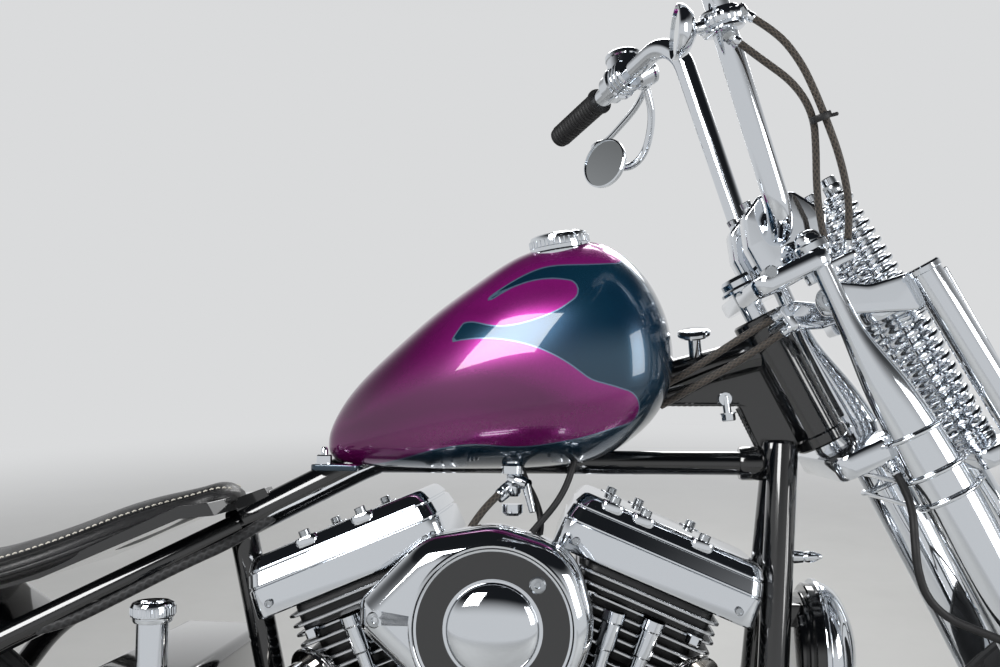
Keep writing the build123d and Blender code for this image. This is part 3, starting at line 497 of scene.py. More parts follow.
TANK_PAINT = tank_paint()
BRAID = braided("dark_braided_cable", "#14110F", "#4A4138", 24, 3.4)
BLACK_BRAID = braided("black_braided_loom", "#0D0D0E", "#2E2F31")
LEATHER = leather("black_saddle_leather", "#0E0E10", "#1E1E21")
THREAD = grained("waxed_white_thread", "#D8D4C8", 0.0, 0.7, 0.08, 3)


# Making mesh objects
def add_object(name, data):
    """A new object in the scene's collection."""
    obj = bpy.data.objects.new(name, data)
    bpy.context.collection.objects.link(obj)
    return obj


def finished(mesh, finishes, sharp):
    """Smooth shading, broken at edges of more than sharp degrees, and the finishes in their order."""
    mesh.polygons.foreach_set("use_smooth", np.ones(len(mesh.polygons), bool))
    mesh.set_sharp_from_angle(angle=math.radians(sharp))
    for finish in finishes:
        mesh.materials.append(finish)


def piece(name, surfaces, body, finishes, replaces=(), fields=None, sharp=32.0):
    """One object from closed grids: quads between neighbouring rows and columns, points that meet
    merged, each surface turned outward by the sign of its volume. fields adds point attributes."""
    points, base = [], 0
    faces, tones, maps = ({3: [], 4: []} for _ in range(3))
    for grid, rows_close, tone in surfaces:
        m, n = grid.shape[:2]
        merged, index = np.unique(np.round(grid.reshape(-1, 3), 4), axis=0, return_inverse=True)
        index = index.reshape(m, n)
        i = np.arange(m if rows_close else m - 1)[:, None]
        j = np.arange(n)[None, :]
        corners = [(i, j), (i, j + 1), (i + 1, j + 1), (i + 1, j)]
        quad = np.stack([index[a % m, b % n] for a, b in corners], axis=-1).reshape(-1, 4)
        run = distance_along(grid.mean(axis=1))
        run = np.append(run, run[-1]) / 1000
        uv = np.stack([np.stack(np.broadcast_arrays(b / n, run[a]), axis=-1) for a, b in corners], axis=-2)
        uv = uv.reshape(-1, 4, 2)
        same = quad == np.roll(quad, -1, axis=1)
        crossed = (quad[:, 0] == quad[:, 2]) | (quad[:, 1] == quad[:, 3])
        whole, cut = (same.sum(axis=1) == 0) & ~crossed, (same.sum(axis=1) == 1) & ~crossed
        four, four_uv = quad[whole], uv[whole]
        three, three_uv = quad[cut][~same[cut]].reshape(-1, 3), uv[cut][~same[cut]].reshape(-1, 3, 2)
        fan = np.concatenate([three, four[:, :3], four[:, [0, 2, 3]]])
        p, q, r = merged[fan[:, 0]], merged[fan[:, 1]], merged[fan[:, 2]]
        order = -1 if np.sum(p * np.cross(q, r)) < 0 else 1
        for sides, face, face_uv in ((3, three, three_uv), (4, four, four_uv)):
            faces[sides].append(face[:, ::order] + base)
            maps[sides].append(face_uv[:, ::order].reshape(-1))
            tones[sides].append(np.full(len(face), tone))
        points.append(merged)
        base += len(merged)
    verts = np.concatenate(points)
    mesh = bpy.data.meshes.new(name)
    mesh.from_pydata(stood(verts).tolist(), [],
                     np.concatenate(faces[3]).tolist() + np.concatenate(faces[4]).tolist())
    mesh.polygons.foreach_set("material_index", np.concatenate(tones[3] + tones[4]).astype(np.int32))
    layer = mesh.uv_layers.new(name="UVMap")
    layer.data.foreach_set("uv", np.concatenate(maps[3] + maps[4]).astype(np.float32))
    for field, formula in (fields or {}).items():
        values = mesh.attributes.new(field, "FLOAT", "POINT").data
        values.foreach_set("value", formula(verts).astype(np.float32))
    finished(mesh, finishes if isinstance(finishes, list) else [finishes], sharp)
    obj = add_object(name, mesh)
    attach(obj, body)
    if replaces:
        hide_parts(*([replaces] if isinstance(replaces, str) else replaces))
    return obj


def black_piece(name, surfaces, node):
    """A piece of the frame in gloss black."""
    piece(name, surfaces, "frame", GLOSS_BLACK, node)


def dressed(node, finish, body, slot, bevel_mm):
    """A copy of a construction piece with its triangles merged, its edges broken and its finish on."""
    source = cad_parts[node]
    mesh = source.data.copy()
    work = bmesh.new()
    work.from_mesh(mesh)
    work.transform(source.matrix_world)
    bmesh.ops.remove_doubles(work, verts=work.verts, dist=1e-6)
    bmesh.ops.dissolve_limit(work, angle_limit=math.radians(0.5), verts=work.verts, edges=work.edges)
    work.to_mesh(mesh)
    work.free()
    mesh.materials.clear()
    finished(mesh, [finish], 32)
    obj = add_object(node + "_finished", mesh)
    edge = obj.modifiers.new("broken_edges", "BEVEL")
    edge.width = bevel_mm / 1000
    edge.segments = 2
    edge.limit_method = "ANGLE"
    edge.angle_limit = math.radians(40)
    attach(obj, body)
    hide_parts(node)


# Fuel tank: teardrop with a round nose and flat-bellied sides
TANK_REAR, TANK_FRONT = -192.0, 191.0
TANK_WAIST = 0.42  # the level where it is widest, as a share of its height
SIDE_POWER, TOP_POWER, BELLY_POWER = 2 / 2.25, 2 / 2.15, 2 / 2.9
TANK_ROWS = [  # place 0-1 from tail to nose, top, bottom, half width
    (0.0, 823, 823, 0), (0.0797, 845, 806, 20), (0.153, 872, 799, 34), (0.303, 932, 795, 66),
    (0.387, 970, 794, 83), (0.463, 1002, 794, 96), (0.5375, 1030, 795, 105), (0.6147, 1043, 798, 111),
    (0.6999, 1044, 808, 112), (0.7622, 1028, 824, 107), (0.8389, 997, 848, 89), (0.9076, 963, 874, 62),
    (1.0, 916, 916, 0)]
TANK_LICKS = [  # each lick from its root to its rounded tip: x, z, half thickness
    [(-160, 862, 52), (-100, 926, 44), (-48, 985, 34), (0, 1020, 32), (50, 1036, 27), (100, 1031, 20),
     (125, 1024, 11)],
    [(-92, 940, 23), (-58, 962, 22), (-24, 964, 13), (1, 961, 15), (17, 965, 19), (38, 972, 21),
     (60, 978, 18), (76, 982, 12)],
    [(-190, 830, 30), (-140, 845, 46), (-85, 863, 50), (-58, 872, 53), (-20, 878, 55), (25, 874, 53),
     (58, 868, 43), (88, 862, 31), (115, 862, 23), (132, 862, 18)]]


def lick_distance(p):
    """Largest of r(s) - distance over every lick, each a chain of tapering round-ended stretches."""
    best = np.full(len(p), -200.0)
    for rows in TANK_LICKS:
        path = flowing(rows, 60)
        away = np.hypot(p[:, None, 0] - path[None, :, 0], p[:, None, 2] - path[None, :, 1])
        best = np.maximum(best, (path[None, :, 2] - away).max(axis=1))
    return best


def build_tank():
    """Sections across the tank: half width * |cos a|^p and height * |sin a|^q, fuller below its waist."""
    t = np.linspace(0, 1, 200)
    x = TANK_REAR + (TANK_FRONT - TANK_REAR) * (1 - np.cos(math.pi * t)) / 2
    top, bottom, half = spline(TANK_ROWS, t).T
    half = np.clip(half, 0, None)
    waist = bottom + TANK_WAIST * (top - bottom)
    a = np.linspace(-math.pi, math.pi, 144, endpoint=False)[None, :]
    c, s = np.cos(a), np.sin(a)
    y = half[:, None] * np.sign(c) * np.abs(c) ** SIDE_POWER
    above = (top - waist)[:, None] * np.abs(s) ** TOP_POWER
    below = -(waist - bottom)[:, None] * np.abs(s) ** BELLY_POWER
    z = waist[:, None] + np.where(s > 0, above, below)
    ends = (t < 1e-9) | (t > 1 - 1e-9)
    y[ends], z[ends] = 0, z[ends].mean(axis=1, keepdims=True)
    grid = np.stack(np.broadcast_arrays(x[:, None], y, z), axis=-1)
    licks = {"lick": lick_distance}
    piece("fuel_tank_shell", [(grid, False, 0)], "frame", TANK_PAINT, "fuel_tank", licks, 60)
    tab = rounded_outline([(-203, -46, 8), (-150, -50, 6), (-150, 8, 6), (-203, 6, 8)])
    piece("tank_rear_tab", [plate(tab, 793, 800, level_plane(0, 0, 0))], "frame", TANK_PAINT,
          fields=licks)
    stud = lathe([(0, 8), (4, 8), (4, 17), (2.6, 19.5), (0, 19.5)], (-190, -32, 799), Z, 20)
    piece("tank_rear_bolt", hex_bolt((-190, -32, 801), Z, 15, 9) + [stud], "frame", CHROME)


def build_tank_fittings():
    """The filler cap, turned about the tank's own slope, and the petcock with its lever and bowl."""
    way = unit((-4, -2, 26))
    base = np.array([68, -20, 1038.0])
    cap = lathe([(0, -14), (36, -14), (36, -4), (33.5, -2), (33.5, 2), (32.5, 2.6), (32.5, 10), (31, 14),
                 (27, 16), (10, 17.2), (0, 17.4)], base, way, 64)
    ribs = milled_edge(base, *square_to(way), 32.6, 36, 3, 10, 1.0)
    piece("fuel_cap_plated", [cap] + ribs, "frame", CHROME, "fuel_cap")
    body = [lathe([(0, 768), (7, 768), (9, 772), (9, 782), (7, 784), (7, 790), (12, 792), (12, 800), (8, 803),
                   (8, 816), (0, 816)], (18, -50, 0), Z, 36),
            lathe([(0, 0), (9, 0), (9, 7), (7, 10), (6, 22), (0, 22)], (18, -50, 786),
                  (0.8, -0.6, -0.25), 24),
            rod((32, -60, 782), (40, -66, 752), 4.5, 3.5), rod((18, -50, 776), (4, -58, 764), 5, 4),
            lathe([(0, 0), (11, 0), (11, 9), (8, 12), (0, 12)], (18, -52, 760), -Z, 24)]
    piece("petcock_plated", body, "frame", CHROME, "petcock")


# Cords that the machine holds along their runs: the points of each route, from one end to the other
CONTROL_CABLES = (
    [(251, -140, 1255), (283, -142, 1235), (307, -141, 1204), (322, -138, 1172), (333, -133, 1146),
     (346, -125, 1115), (357, -113, 1080), (361, -102, 1049), (360, -92, 1020)],
    [(237, -143, 1231), (268, -141, 1207), (303, -136, 1182), (322, -128, 1152), (326, -117, 1119),
     (328, -106, 1087), (333, -96, 1053), (342, -88, 1018)])
BRAKE_HOSE = [(399, -92, 806), (405, -108, 788), (409, -124, 765), (408, -132, 737), (409, -134, 708),
              (418, -132, 681), (438, -130, 662), (464, -130, 652), (494, -132, 640), (526, -132, 630),
              (556, -124, 640), (568, -100, 664), (562, -56, 694), (556, 0, 704), (562, 56, 692),
              (574, 88, 652), (584, 90, 600), (590, 82, 548), (594, 74, 502), (596, 72, 464)]
NECK_HOSES = (
    [(168, -20, 880), (196, -25, 895), (222, -32, 911), (252, -39, 931), (281, -46, 949), (304, -50, 963)],
    [(176, -21, 864), (204, -27, 880), (230, -35, 895), (260, -43, 913), (289, -49, 932), (313, -54, 948)])
PETCOCK_HOSE = [(12, -54, 778), (1, -64, 768), (-13, -74, 753), (-27, -82, 732), (-33, -86, 708),
                (-32, -88, 682), (-21, -90, 660)]
CARB_CABLES = (
    [(24, -38, 806), (30, -44, 786), (43, -52, 764), (50, -60, 740), (42, -72, 710), (22, -86, 676)],
    [(84, -44, 808), (79, -52, 788), (66, -63, 763), (44, -72, 738), (22, -82, 712), (4, -90, 678)])
SEAT_LOOM = [(-250, -8, 742), (-286, -30, 716), (-344, -40, 690), (-412, -60, 654), (-464, -76, 628),
             (-506, -82, 622)]


# Frame tubes in gloss black
def build_frame():
    """Bent tubes: straight runs joined by arcs, those beside the middle plane drawn for both sides."""
    backbone = rounded_run([(284, 0, 921), (-130, 0, 812), (-300, 0, 727)], [400])
    black_piece("frame_backbone_tube", [swept(backbone, 19, 32)], "frame_backbone")
    top = swept([(-150, 0, 802), (286, 0, 802)], 13, 32)
    collar = lathe([(0, 0), (17, 0), (18.5, 3), (18.5, 28), (17, 31), (0, 31)], (262, 0, 802), X, 32)
    black_piece("frame_top_tube_run", [top, collar], "frame_top_tube")
    tubes = [swept([mirrored((307, 18, 822), side), mirrored((250, 112, 176), side)], 16, 32)
             for side in (1, -1)]
    tubes.append(block(level_plane(302, 0, 812), -16, 16, 34, 56, 12, 4))
    black_piece("frame_downtube_pair", tubes, "frame_downtubes")
    rail = ((250, 112, 176), (236, 116, 150), (-330, 116, 150), (-735, 106, 300))
    for name, side in (("left", 1), ("right", -1)):
        run = rounded_run([mirrored(p, side) for p in rail], [14, 120])
        black_piece("frame_rail_tube_" + name, [swept(run, 14, 28)], "frame_rail_" + name)
    black_piece("frame_seat_post_tube", [swept([(-289, 0, 722), (-160, 0, 152)], 16, 32)], "frame_seat_post")
    stays = []
    for side in (1, -1):
        run = [mirrored(p, side) for p in ((-288, 12, 731), (-548, 92, 602), (-742, 106, 352))]
        stays.append(swept(rounded_run(run, [150]), 14, 28))
    black_piece("frame_rear_rail_pair", stays, "frame_rear_rails")


def build_neck():
    """Turned steering head with a flat gusset, rippled weld beads along the gusset's tubes."""
    head = [(13.2, 0), (27, 0), (29, 2), (29, 12), (27, 14), (27, 140), (29, 142), (29, 152), (27, 154),
            (13.2, 154), (13.2, 0)]
    gusset = rounded_outline([(318, 905, 3), (345, 850, 3), (318, 800, 3), (285, 812, 3), (262, 866, 12),
                              (180, 866, 4), (186, 890, 4), (280, 925, 3)])
    neck = [lathe(head, fork(0, 0, NECK_LOW), FORK_UP, 48), plate(gusset, -6, 6, side_plane(0), edge=2)]
    steps = np.linspace(0, 1, 28)
    beads = [((262, 866), (180, 866)), ((286, 812), (262, 862)), ((318, 802), (288, 811))]
    for (x0, z0), (x1, z1) in beads:
        for y in (-7, 7):
            path = np.stack([x0 + (x1 - x0) * steps, np.full(28, y), z0 + (z1 - z0) * steps], axis=1)
            neck.append(swept(path, 1.9 + 0.5 * np.cos(steps * 80), 10))
    black_piece("frame_neck_forging", neck, "frame_neck")


def build_neck_fittings():
    """A cap and a bolted lug beside the neck, and the block that holds the two hoses' ends."""
    tilt = (-0.1, -0.35, 1)
    oval = lathe([(0, 0), (16, 0), (18, 2), (18, 5), (15, 7), (0, 8)], (214, -14, 940), tilt, 40)
    stem = lathe([(0, -26), (7, -26), (7, 0), (0, 0)], (214, -14, 940), tilt, 20)
    lug = rod((247, 8, 872), (247, -14, 872), 8)
    bolt = [lug, rod((247, -10, 876), (250, -11, 852), 4.5)] + hex_bolt((250, -11, 856), (0.12, 0, -1), 13, 8)
    ends = [np.array(route[-1]) for route in NECK_HOSES]
    across, way, middle = unit(ends[1] - ends[0]), unit(ends[1] - NECK_HOSES[1][-2]), (ends[0] + ends[1]) / 2
    stop = (middle, across, np.cross(way, across), way)
    holder = [block(stop, -3, 6, 32, 15, 6, 1.5), rod((292, -14, 944), middle, 6)]
    piece("neck_fittings", [oval, stem] + bolt + holder, "frame", CHROME)


# Engine
def fin_rows(low, thick, length, width, corner):
    """A cooling fin as a thin plate with a rounded, machined rim."""
    k = 0.8
    return [(low, 0, 0, 0), (low, length - 4, width - 4, corner), (low, length - k, width - k, corner),
            (low + k, length, width, corner), (low + thick - k, length, width, corner),
            (low + thick, length - k, width - k, corner), (low + thick, length - 4, width - 4, corner),
            (low + thick, 0, 0, 0)]


def rim_only(rows):
    """The rows of a fin that make its machined edge, as a closed band set 0.05 mm proud."""
    band = rows[2:6]
    out = [(h, a + 0.05, b + 0.05, c) for h, a, b, c in band]
    inner = [(h, a - 2.5, b - 2.5, c) for h, a, b, c in (band[-1], band[0])]
    return out + inner


def build_cylinders():
    """On each side of the vee a round finned barrel and a square finned head, their fins' rims bright."""
    for name, way in (("front", 1), ("rear", -1)):
        plane = cylinder_plane(way)
        crank, along, _, up = plane
        shapes = [lathe([(0, DECK), (60, DECK), (60, HEAD_FOOT), (0, HEAD_FOOT)], crank, up, 64),
                  block(plane, HEAD_FOOT, HEAD_TOP, 128, 128, 12, 2)]
        fin = DECK + 14
        while fin < HEAD_FOOT - 4:
            top = fin + FIN_THICK
            rim = [(FIN_REACH - 0.9, fin + 0.4), (FIN_REACH, fin + 1.2), (FIN_REACH, top - 1.2),
                   (FIN_REACH - 0.9, top - 0.4)]
            rows = [(0, fin), (FIN_REACH - 5, fin), *rim, (FIN_REACH - 5, top), (0, top)]
            band = [(r + 0.08, h) for r, h in rim] + [(FIN_REACH - 3, top - 0.6), (FIN_REACH - 3, fin + 0.6)]
            shapes += [lathe(rows, crank, up, 72), hoop(band, crank, up, 72, 1)]
            fin += FIN_PITCH
        fin = HEAD_FOOT + 2
        while fin < HEAD_TOP - 4:
            low = fin < HEAD_TOP - 30
            rows = fin_rows(fin, FIN_THICK, FIN_REACH if low else 77, 75 if low else 90.5, 16)
            shapes += [boxy(rows, plane), (boxy(rim_only(rows), plane)[0], True, 1)]
            fin += FIN_PITCH
        shapes.append(block(plane, HEAD_TOP - 28, HEAD_TOP, 138, 164, 14, 2.5))
        for y in (-84, 84):
            for x in (-58, 58):
                shapes += hex_bolt(crank + along * x + Y * y + up * (HEAD_TOP - 28), -up, 14, 9, finish=2)
        piece("cylinder_" + name + "_finned", shapes, "frame", [BARREL_BLACK, POLISHED, CHROME],
              "cylinder_" + name)


BOX_ROWS = [  # height above the crank, half length, half width, corner radius
    (401, 0, 0, 0), (401, 107, 88, 15), (402.5, 109, 90, 16), (404, 109.5, 90.5, 16), (431, 108.5, 88, 16),
    (432.2, 106.4, 85.6, 15), (433.6, 106.4, 85.6, 15), (434.8, 107.6, 87.0, 16), (447, 105, 83, 16),
    (448.2, 102.8, 80.4, 15), (449.6, 102.8, 80.4, 15), (450.8, 103.8, 81.4, 16), (458, 100, 77, 15),
    (461.2, 97.5, 74, 14), (462.6, 94.5, 71, 13), (463, 90, 66, 12), (463, 0, 0, 0)]
BOX_BOLTS = {"front": (-66, -32, 32), "rear": (-32, 32)}


def build_rocker_boxes():
    """Stepped plated boxes by BOX_ROWS, with cap screws on bosses along both sides."""
    for name, way in (("front", 1), ("rear", -1)):
        plane = cylinder_plane(way)
        crank, along, _, up = plane
        shapes = [boxy(BOX_ROWS, plane, 10)]
        for side in (-1, 1):
            for x in BOX_BOLTS[name]:
                boss = crank + along * x + Y * side * 72 + up * 452
                shapes += [block((boss, along, Y, up), 0, 12, 26, 16, 7, 2.5),
                           cap_screw(boss + up * 12, up, 6, 6.5, 1)]
            for x in (-88, 88):
                foot = crank + along * x + Y * side * 91 + up * 414
                shapes.append(cap_screw(foot, Y * side, 4.2, 2.2, 1))
        piece("rocker_box_" + name + "_plated", shapes, "frame", [CHROME, ZINC], "rocker_box_" + name)


def build_pushrods():
    """Four turned tubes in telescoping steps, from the cam cover up to the boxes."""
    shapes = []
    for low, high in (((58, 440), (129, 669)), ((84, 436), (168, 658)), ((-42, 440), (-113, 669)),
                      ((-68, 436), (-152, 658))):
        a, b = np.array([low[0], -83.5, low[1]]), np.array([high[0], -83.5, high[1]])
        rows = [(0, 0), (13, 0), (13, 8), (11, 10), (11, 46), (9.4, 48), (9.4, 52), (8, 54), (8, 186),
                (10, 188),
                (10.5, 194), (10.5, 214), (12, 216), (12, 226), (0, 226)]
        shapes.append(lathe(rows, a, b - a, 32))
    piece("pushrod_tubes_plated", shapes, "frame", CHROME, "pushrod_tubes")


AIR = (8.0, 654.0)
AIR_FACE = -181.0


def build_air_cleaner():
    """A rounded backing plate and cover, a turned well with a dome in it, a black ring and screws."""
    outline = rounded_outline([(-122, 676, 16), (-62, 736, 66), (8, 748, 60), (84, 726, 62), (106, 652, 70),
                               (72, 566, 66), (0, 556, 60), (-60, 592, 60), (-122, 650, 14)], 12)
    face = (AIR[0], AIR_FACE, AIR[1])
    a = np.linspace(0, math.pi / 2, 16)
    well = [(0, 0), (76, 0), (78, 1.4), (79.5, 3.2), (78, 4.6), (76, 4.2), (74.5, 1.6), (72, 0.9), (46, 0.9),
            (0, 0.9)]
    dome = [(0, 0), (46, 0), (46, 2.2)] + list(zip(44 * np.cos(a), 2.2 + 14.5 * np.sin(a)))
    shapes = [plate(outline, 118, 150, side_plane(0), edge=3),
              plate(outline, 148, 181, side_plane(0), edge=25, back_edge=2, arc=10),
              lathe(well, face, -Y, 96), lathe(dome, face, -Y, 96),
              lathe([(72, 1.2), (72, 1.9), (47, 1.9), (47, 1.2), (72, 1.2)], face, -Y, 96, 1)]
    for x, y, z in ((AIR[0] + 42, AIR_FACE - 1.6, AIR[1] + 42), (AIR[0] + 30, AIR_FACE - 1.6, AIR[1] - 50),
                    (-104, AIR_FACE + 3, 661)):
        shapes.append(lathe([(0, 0), (8, 0), (8, 1.2), (6.6, 2.6), (3, 3.2), (2.4, 1.6), (0, 1.6)],
                            (x, y, z), -Y, 28, 2))
    piece("air_cleaner_plated", shapes, "frame", [CHROME, GLOSS_BLACK, ZINC], "air_cleaner")


def build_exhausts():
    """Each pipe a bent tube with a rolled lip at its open end and a clamp ring at the head."""
    for name, run, bends in (
            ("front", [(196, -60, 588), (236, -118, 560), (236, -146, 330), (40, -150, 222),
                       (-620, -150, 222)], [26, 110, 110]),
            ("rear", [(-180, -60, 588), (-224, -118, 560), (-262, -150, 330), (-420, -150, 290),
                      (-680, -150, 290)], [26, 80, 110])):
        start, after = np.array(run[0], float), np.array(run[1], float)
        shapes = [swept(rounded_run(run, bends, 16), 22, 40),
                  lathe([(17, 30), (17, -1), (19, -2.5), (23, -1), (24, 4), (24, 14), (22, 16)],
                        run[-1], X, 48),
                  lathe([(0, 10), (30, 10), (31, 12), (31, 17), (30, 19), (0, 19)], start, after - start, 32)]
        piece("exhaust_" + name + "_pipe", shapes, "frame", WARM_CHROME, "exhaust_" + name)


CLUTCH = (-292.0, 328.0)
PRIMARY_MIDDLE = 318


def build_primary():
    """A long cover on a thin flange, round crank and clutch, with a turned lid and screws round it."""
    corners = [(CRANK[0] + 92, CRANK[1] + 92, 91), (CLUTCH[0] - 112, CLUTCH[1] + 112, 111),
               (CLUTCH[0] - 112, CLUTCH[1] - 112, 111), (CRANK[0] + 92, CRANK[1] - 92, 91)]
    outline = rounded_outline(corners, 24)
    shapes = [plate(outline, 72, 92, side_plane(0, 1), edge=2),
              plate(outline, 92, 149.5, side_plane(0, 1), edge=20, back_edge=1.5, arc=8),
              lathe([(0, 0), (58, 0), (60, 1.5), (60, 4), (56, 6), (54, 3.5), (0, 3.0)],
                    (CLUTCH[0], 144, CLUTCH[1]), Y, 72)]
    for x, z in ((60, 380), (-80, 409), (-220, 428), (-388, 360), (-388, 290), (-220, 226), (-80, 230),
                 (60, 240)):
        place = (x * 0.97, 128, PRIMARY_MIDDLE + (z - PRIMARY_MIDDLE) * 0.97)
        shapes.append(cap_screw(place, Y, 5.5, 8, 1))
    piece("primary_cover_polished", shapes, "frame", [POLISHED, ZINC], "primary_cover")


def build_cam_cover():
    """A rounded cover with a turned round lid on it and screws round its edge."""
    corners = [(-86, 222, 60), (104, 222, 60), (104, 400, 40), (84, 441, 8), (-68, 441, 8), (-88, 400, 40)]
    shapes = [plate(rounded_outline(corners, 12), 70, 110, side_plane(0), edge=7, back_edge=1, arc=5),
              lathe([(0, 0), (40, 0), (42, 1.5), (42, 4), (38, 6), (34, 4), (0, 3)], (40, -109, 300), -Y, 64)]
    for x, z in ((-74, 250), (-74, 330), (-60, 425), (8, 430), (76, 425), (92, 330), (92, 250), (8, 228)):
        shapes.append(cap_screw((x, -108, z), -Y, 5, 4.5, 1))
    piece("cam_cover_polished", shapes, "frame", [POLISHED, ZINC], "cam_cover")


# Springer fork, its outlines by ahead of the steering axis, up along it and corner radius
PERCH_ARM = [(40, 716, 12), (62, 728, 10), (96, 706, 30), (150, 697, 12), (160, 676, 8), (128, 660, 14),
             (60, 690, 20), (42, 698, 5)]
RISER = [(14, 748, 6), (75, 748, 8), (104, 792, 8), (83, 828, 10), (49, 841, 10), (24, 828, 12), (13, 797, 8)]


def build_fork_trees():
    """Stem, crown, top clamp and perch, with risers and perch arms as upright plates on both sides."""
    shapes = [rod(fork(0, 0, CROWN_H), fork(0, 0, CLAMP_H + 22), 13, sides=32),
              block(fork_plane(26), CROWN_H, CROWN_H + 26, 92, 2 * LEG_Y - 14, 16, 5),
              block(fork_plane(30), CLAMP_H, CLAMP_H + 20, 84, 2 * LEG_Y + 40, 16, 5),
              block(fork_plane(SPRING_AHEAD - 12), PERCH_H, PERCH_H + 18, 74, 2 * LEG_Y - 20, 16, 4),
              lathe([(0, 0), (24, 0), (24, 3), (20, 6), (20, 12), (17, 16), (0, 18)],
                    fork(0, 0, CLAMP_H + 20), FORK_UP, 36)]
    acorn = [(0, 0), (17, 0), (17, 6.5), (16, 8), (14, 8.6), (14, 11), (13, 12.6), (12.4, 15), (10, 18.6),
             (6, 21), (0, 22)]
    bolt = [(0, 0), (13, 0), (13, 5), (11.4, 6.6), (8, 7), (7, 6.2), (6, 6.2), (4, 7), (0, 7)]
    beside = (fork(0, 0, 0), FORK_OUT, FORK_UP, -Y)
    for side in (1, -1):
        shapes.append(lathe(acorn, fork(LEG_AHEAD + 3, side * LEG_Y, CLAMP_H + 20), FORK_UP, 36))
        shapes.append(plate(rounded_outline(RISER), -side * 52 - 17, -side * 52 + 17, beside, 4, 4))
        for ahead, height in ((36, 836), (72, 833)):
            shapes.append(cap_screw(fork(ahead, side * 52, height), FORK_UP, 6, 6, 1))
        shapes.append(plate(rounded_outline(PERCH_ARM), -side * 94 - 7, -side * 94 + 7, beside, 3, 3))
        shapes.append(lathe(bolt, fork(53, side * 100, 711), Y * side, 32, 1))
        shapes.append(rod(fork(10, side * 98, 761), fork(10, side * 128, 761), 6.5, finish=1))
    piece("fork_trees_plated", shapes, "steering", [CHROME, ZINC], "fork_trees")


RIGID_ROWS = [  # height up the fork, ahead of the axis, half depth, half width
    (748, 61, 10, 10), (700, 58, 10.5, 10.5), (672, 57, 12, 12), (640, 58, 17, 14), (606, 60, 22.5, 16),
    (570, 62, 25.5, 17), (540, 63, 27, 17.5), (300, 60, 25.5, 17), (120, 53, 22, 15.5), (20, 48, 18, 14),
    (-14, 47, 16, 9)]
BAND_UPS = (557, 516, 488)


def build_rigid_legs():
    """Oval legs by RIGID_ROWS, with rings round both and rods between them at each band."""
    shapes = []
    up = np.linspace(748, -14, 60)
    ahead, depth, width = spline([(-h, a, d, w) for h, a, d, w in RIGID_ROWS], -up).T
    a = np.linspace(0, 2 * math.pi, 56, endpoint=False)[:, None]
    for side in (1, -1):
        path = np.stack([fork(x, side * LEG_Y, h) for x, h in zip(ahead, up)])
        shapes.append(swept(path, depth, 40, flat=width))
        for h in BAND_UPS:
            ring = fork(63, side * LEG_Y, h) + 31 * np.cos(a) * FORK_OUT + 21 * np.sin(a) * Y
            shapes.append(swept(ring, 2.6, 10, closed=True))
            shapes.append(rod(fork(94, side * LEG_Y, h), fork(104, side * (LEG_Y - 12), h), 3.4))
        shapes.append(lathe([(0, 0), (15, 0), (15, 12), (11, 16), (0, 16)],
                            fork(47, side * (LEG_Y + 8), 2), Y * side, 28))
    shapes += [rod(fork(34, -LEG_Y, h), fork(34, LEG_Y, h), 2.6, sides=16) for h in BAND_UPS]
    piece("rigid_legs_plated", shapes, "steering", CHROME, "rigid_legs", sharp=45)


def build_spring_legs():
    """Round legs that widen upwards, a rail before each, and the springs' rods on a cross block."""
    shapes = []
    for side in (1, -1):
        low, high = fork(176, side * LEG_Y, -6), fork(FRONT_LEG_AHEAD, side * LEG_Y, 700)
        length = np.linalg.norm(high - low)
        rows = [(0, 0), (12, 0), (13, 2), (15, length * 0.25), (17, length * 0.7), (17, length - 8),
                (18.5, length - 7), (18.5, length - 2), (17, length), (0, length)]
        shapes += [lathe(rows, low, high - low, 40),
                   rod(fork(166, side * LEG_Y, 688), fork(168, side * LEG_Y, 380), 3.2, sides=16),
                   rod(fork(SPRING_AHEAD, side * SPRING_Y, 500), fork(SPRING_AHEAD, side * SPRING_Y, 826), 8,
                       sides=20)]
    shapes.append(block(fork_plane(SPRING_AHEAD + 8), 492, 512, 58, 2 * LEG_Y, 12, 4))
    piece("spring_legs_plated", shapes, "steering", CHROME, "spring_legs")


def build_springs():
    """A straight coil below the perch and a tapering one above it, between cups, and a nut on top."""
    shapes = []
    nut = [(0, 806), (9, 806), (10, 807), (10, 816.6), (8.6, 818), (0, 818)]
    rod_end = [(0, 818), (7, 818), (6.4, 823), (5, 825.6), (0, 826)]
    for side in (1, -1):
        base = fork(SPRING_AHEAD, side * SPRING_Y, 0)
        shapes += [swept(helix(base, FORK_UP, 520, 658.5, (20.6, 20.6), 12.4, 26), 4.2, 12),
                   swept(helix(base, FORK_UP, 693.5, 797.5, (19.4, 12.4), 11.2, 26), 3.5, 12)]
        for h, r in ((512, 25), (663, 25), (686, 23), (801, 15)):
            shapes.append(rod(base + FORK_UP * h, base + FORK_UP * (h + 5), r, sides=36))
        shapes += [lathe(nut, base, FORK_UP, 6, 1), lathe(rod_end, base, FORK_UP, 20, 1)]
    piece("fork_springs_coiled", shapes, "steering", [CHROME, ZINC], "fork_springs", sharp=60)


# Handlebar, grips, controls and mirrors
BAR_RUN = [(296, 0, 1046), (296, 108, 1042), (208, 134, 1334), (62, 372, 1268)]
GRIP_INNER, GRIP_OUTER = (118, 280.7, 1293.3), (58, 378.5, 1266.2)


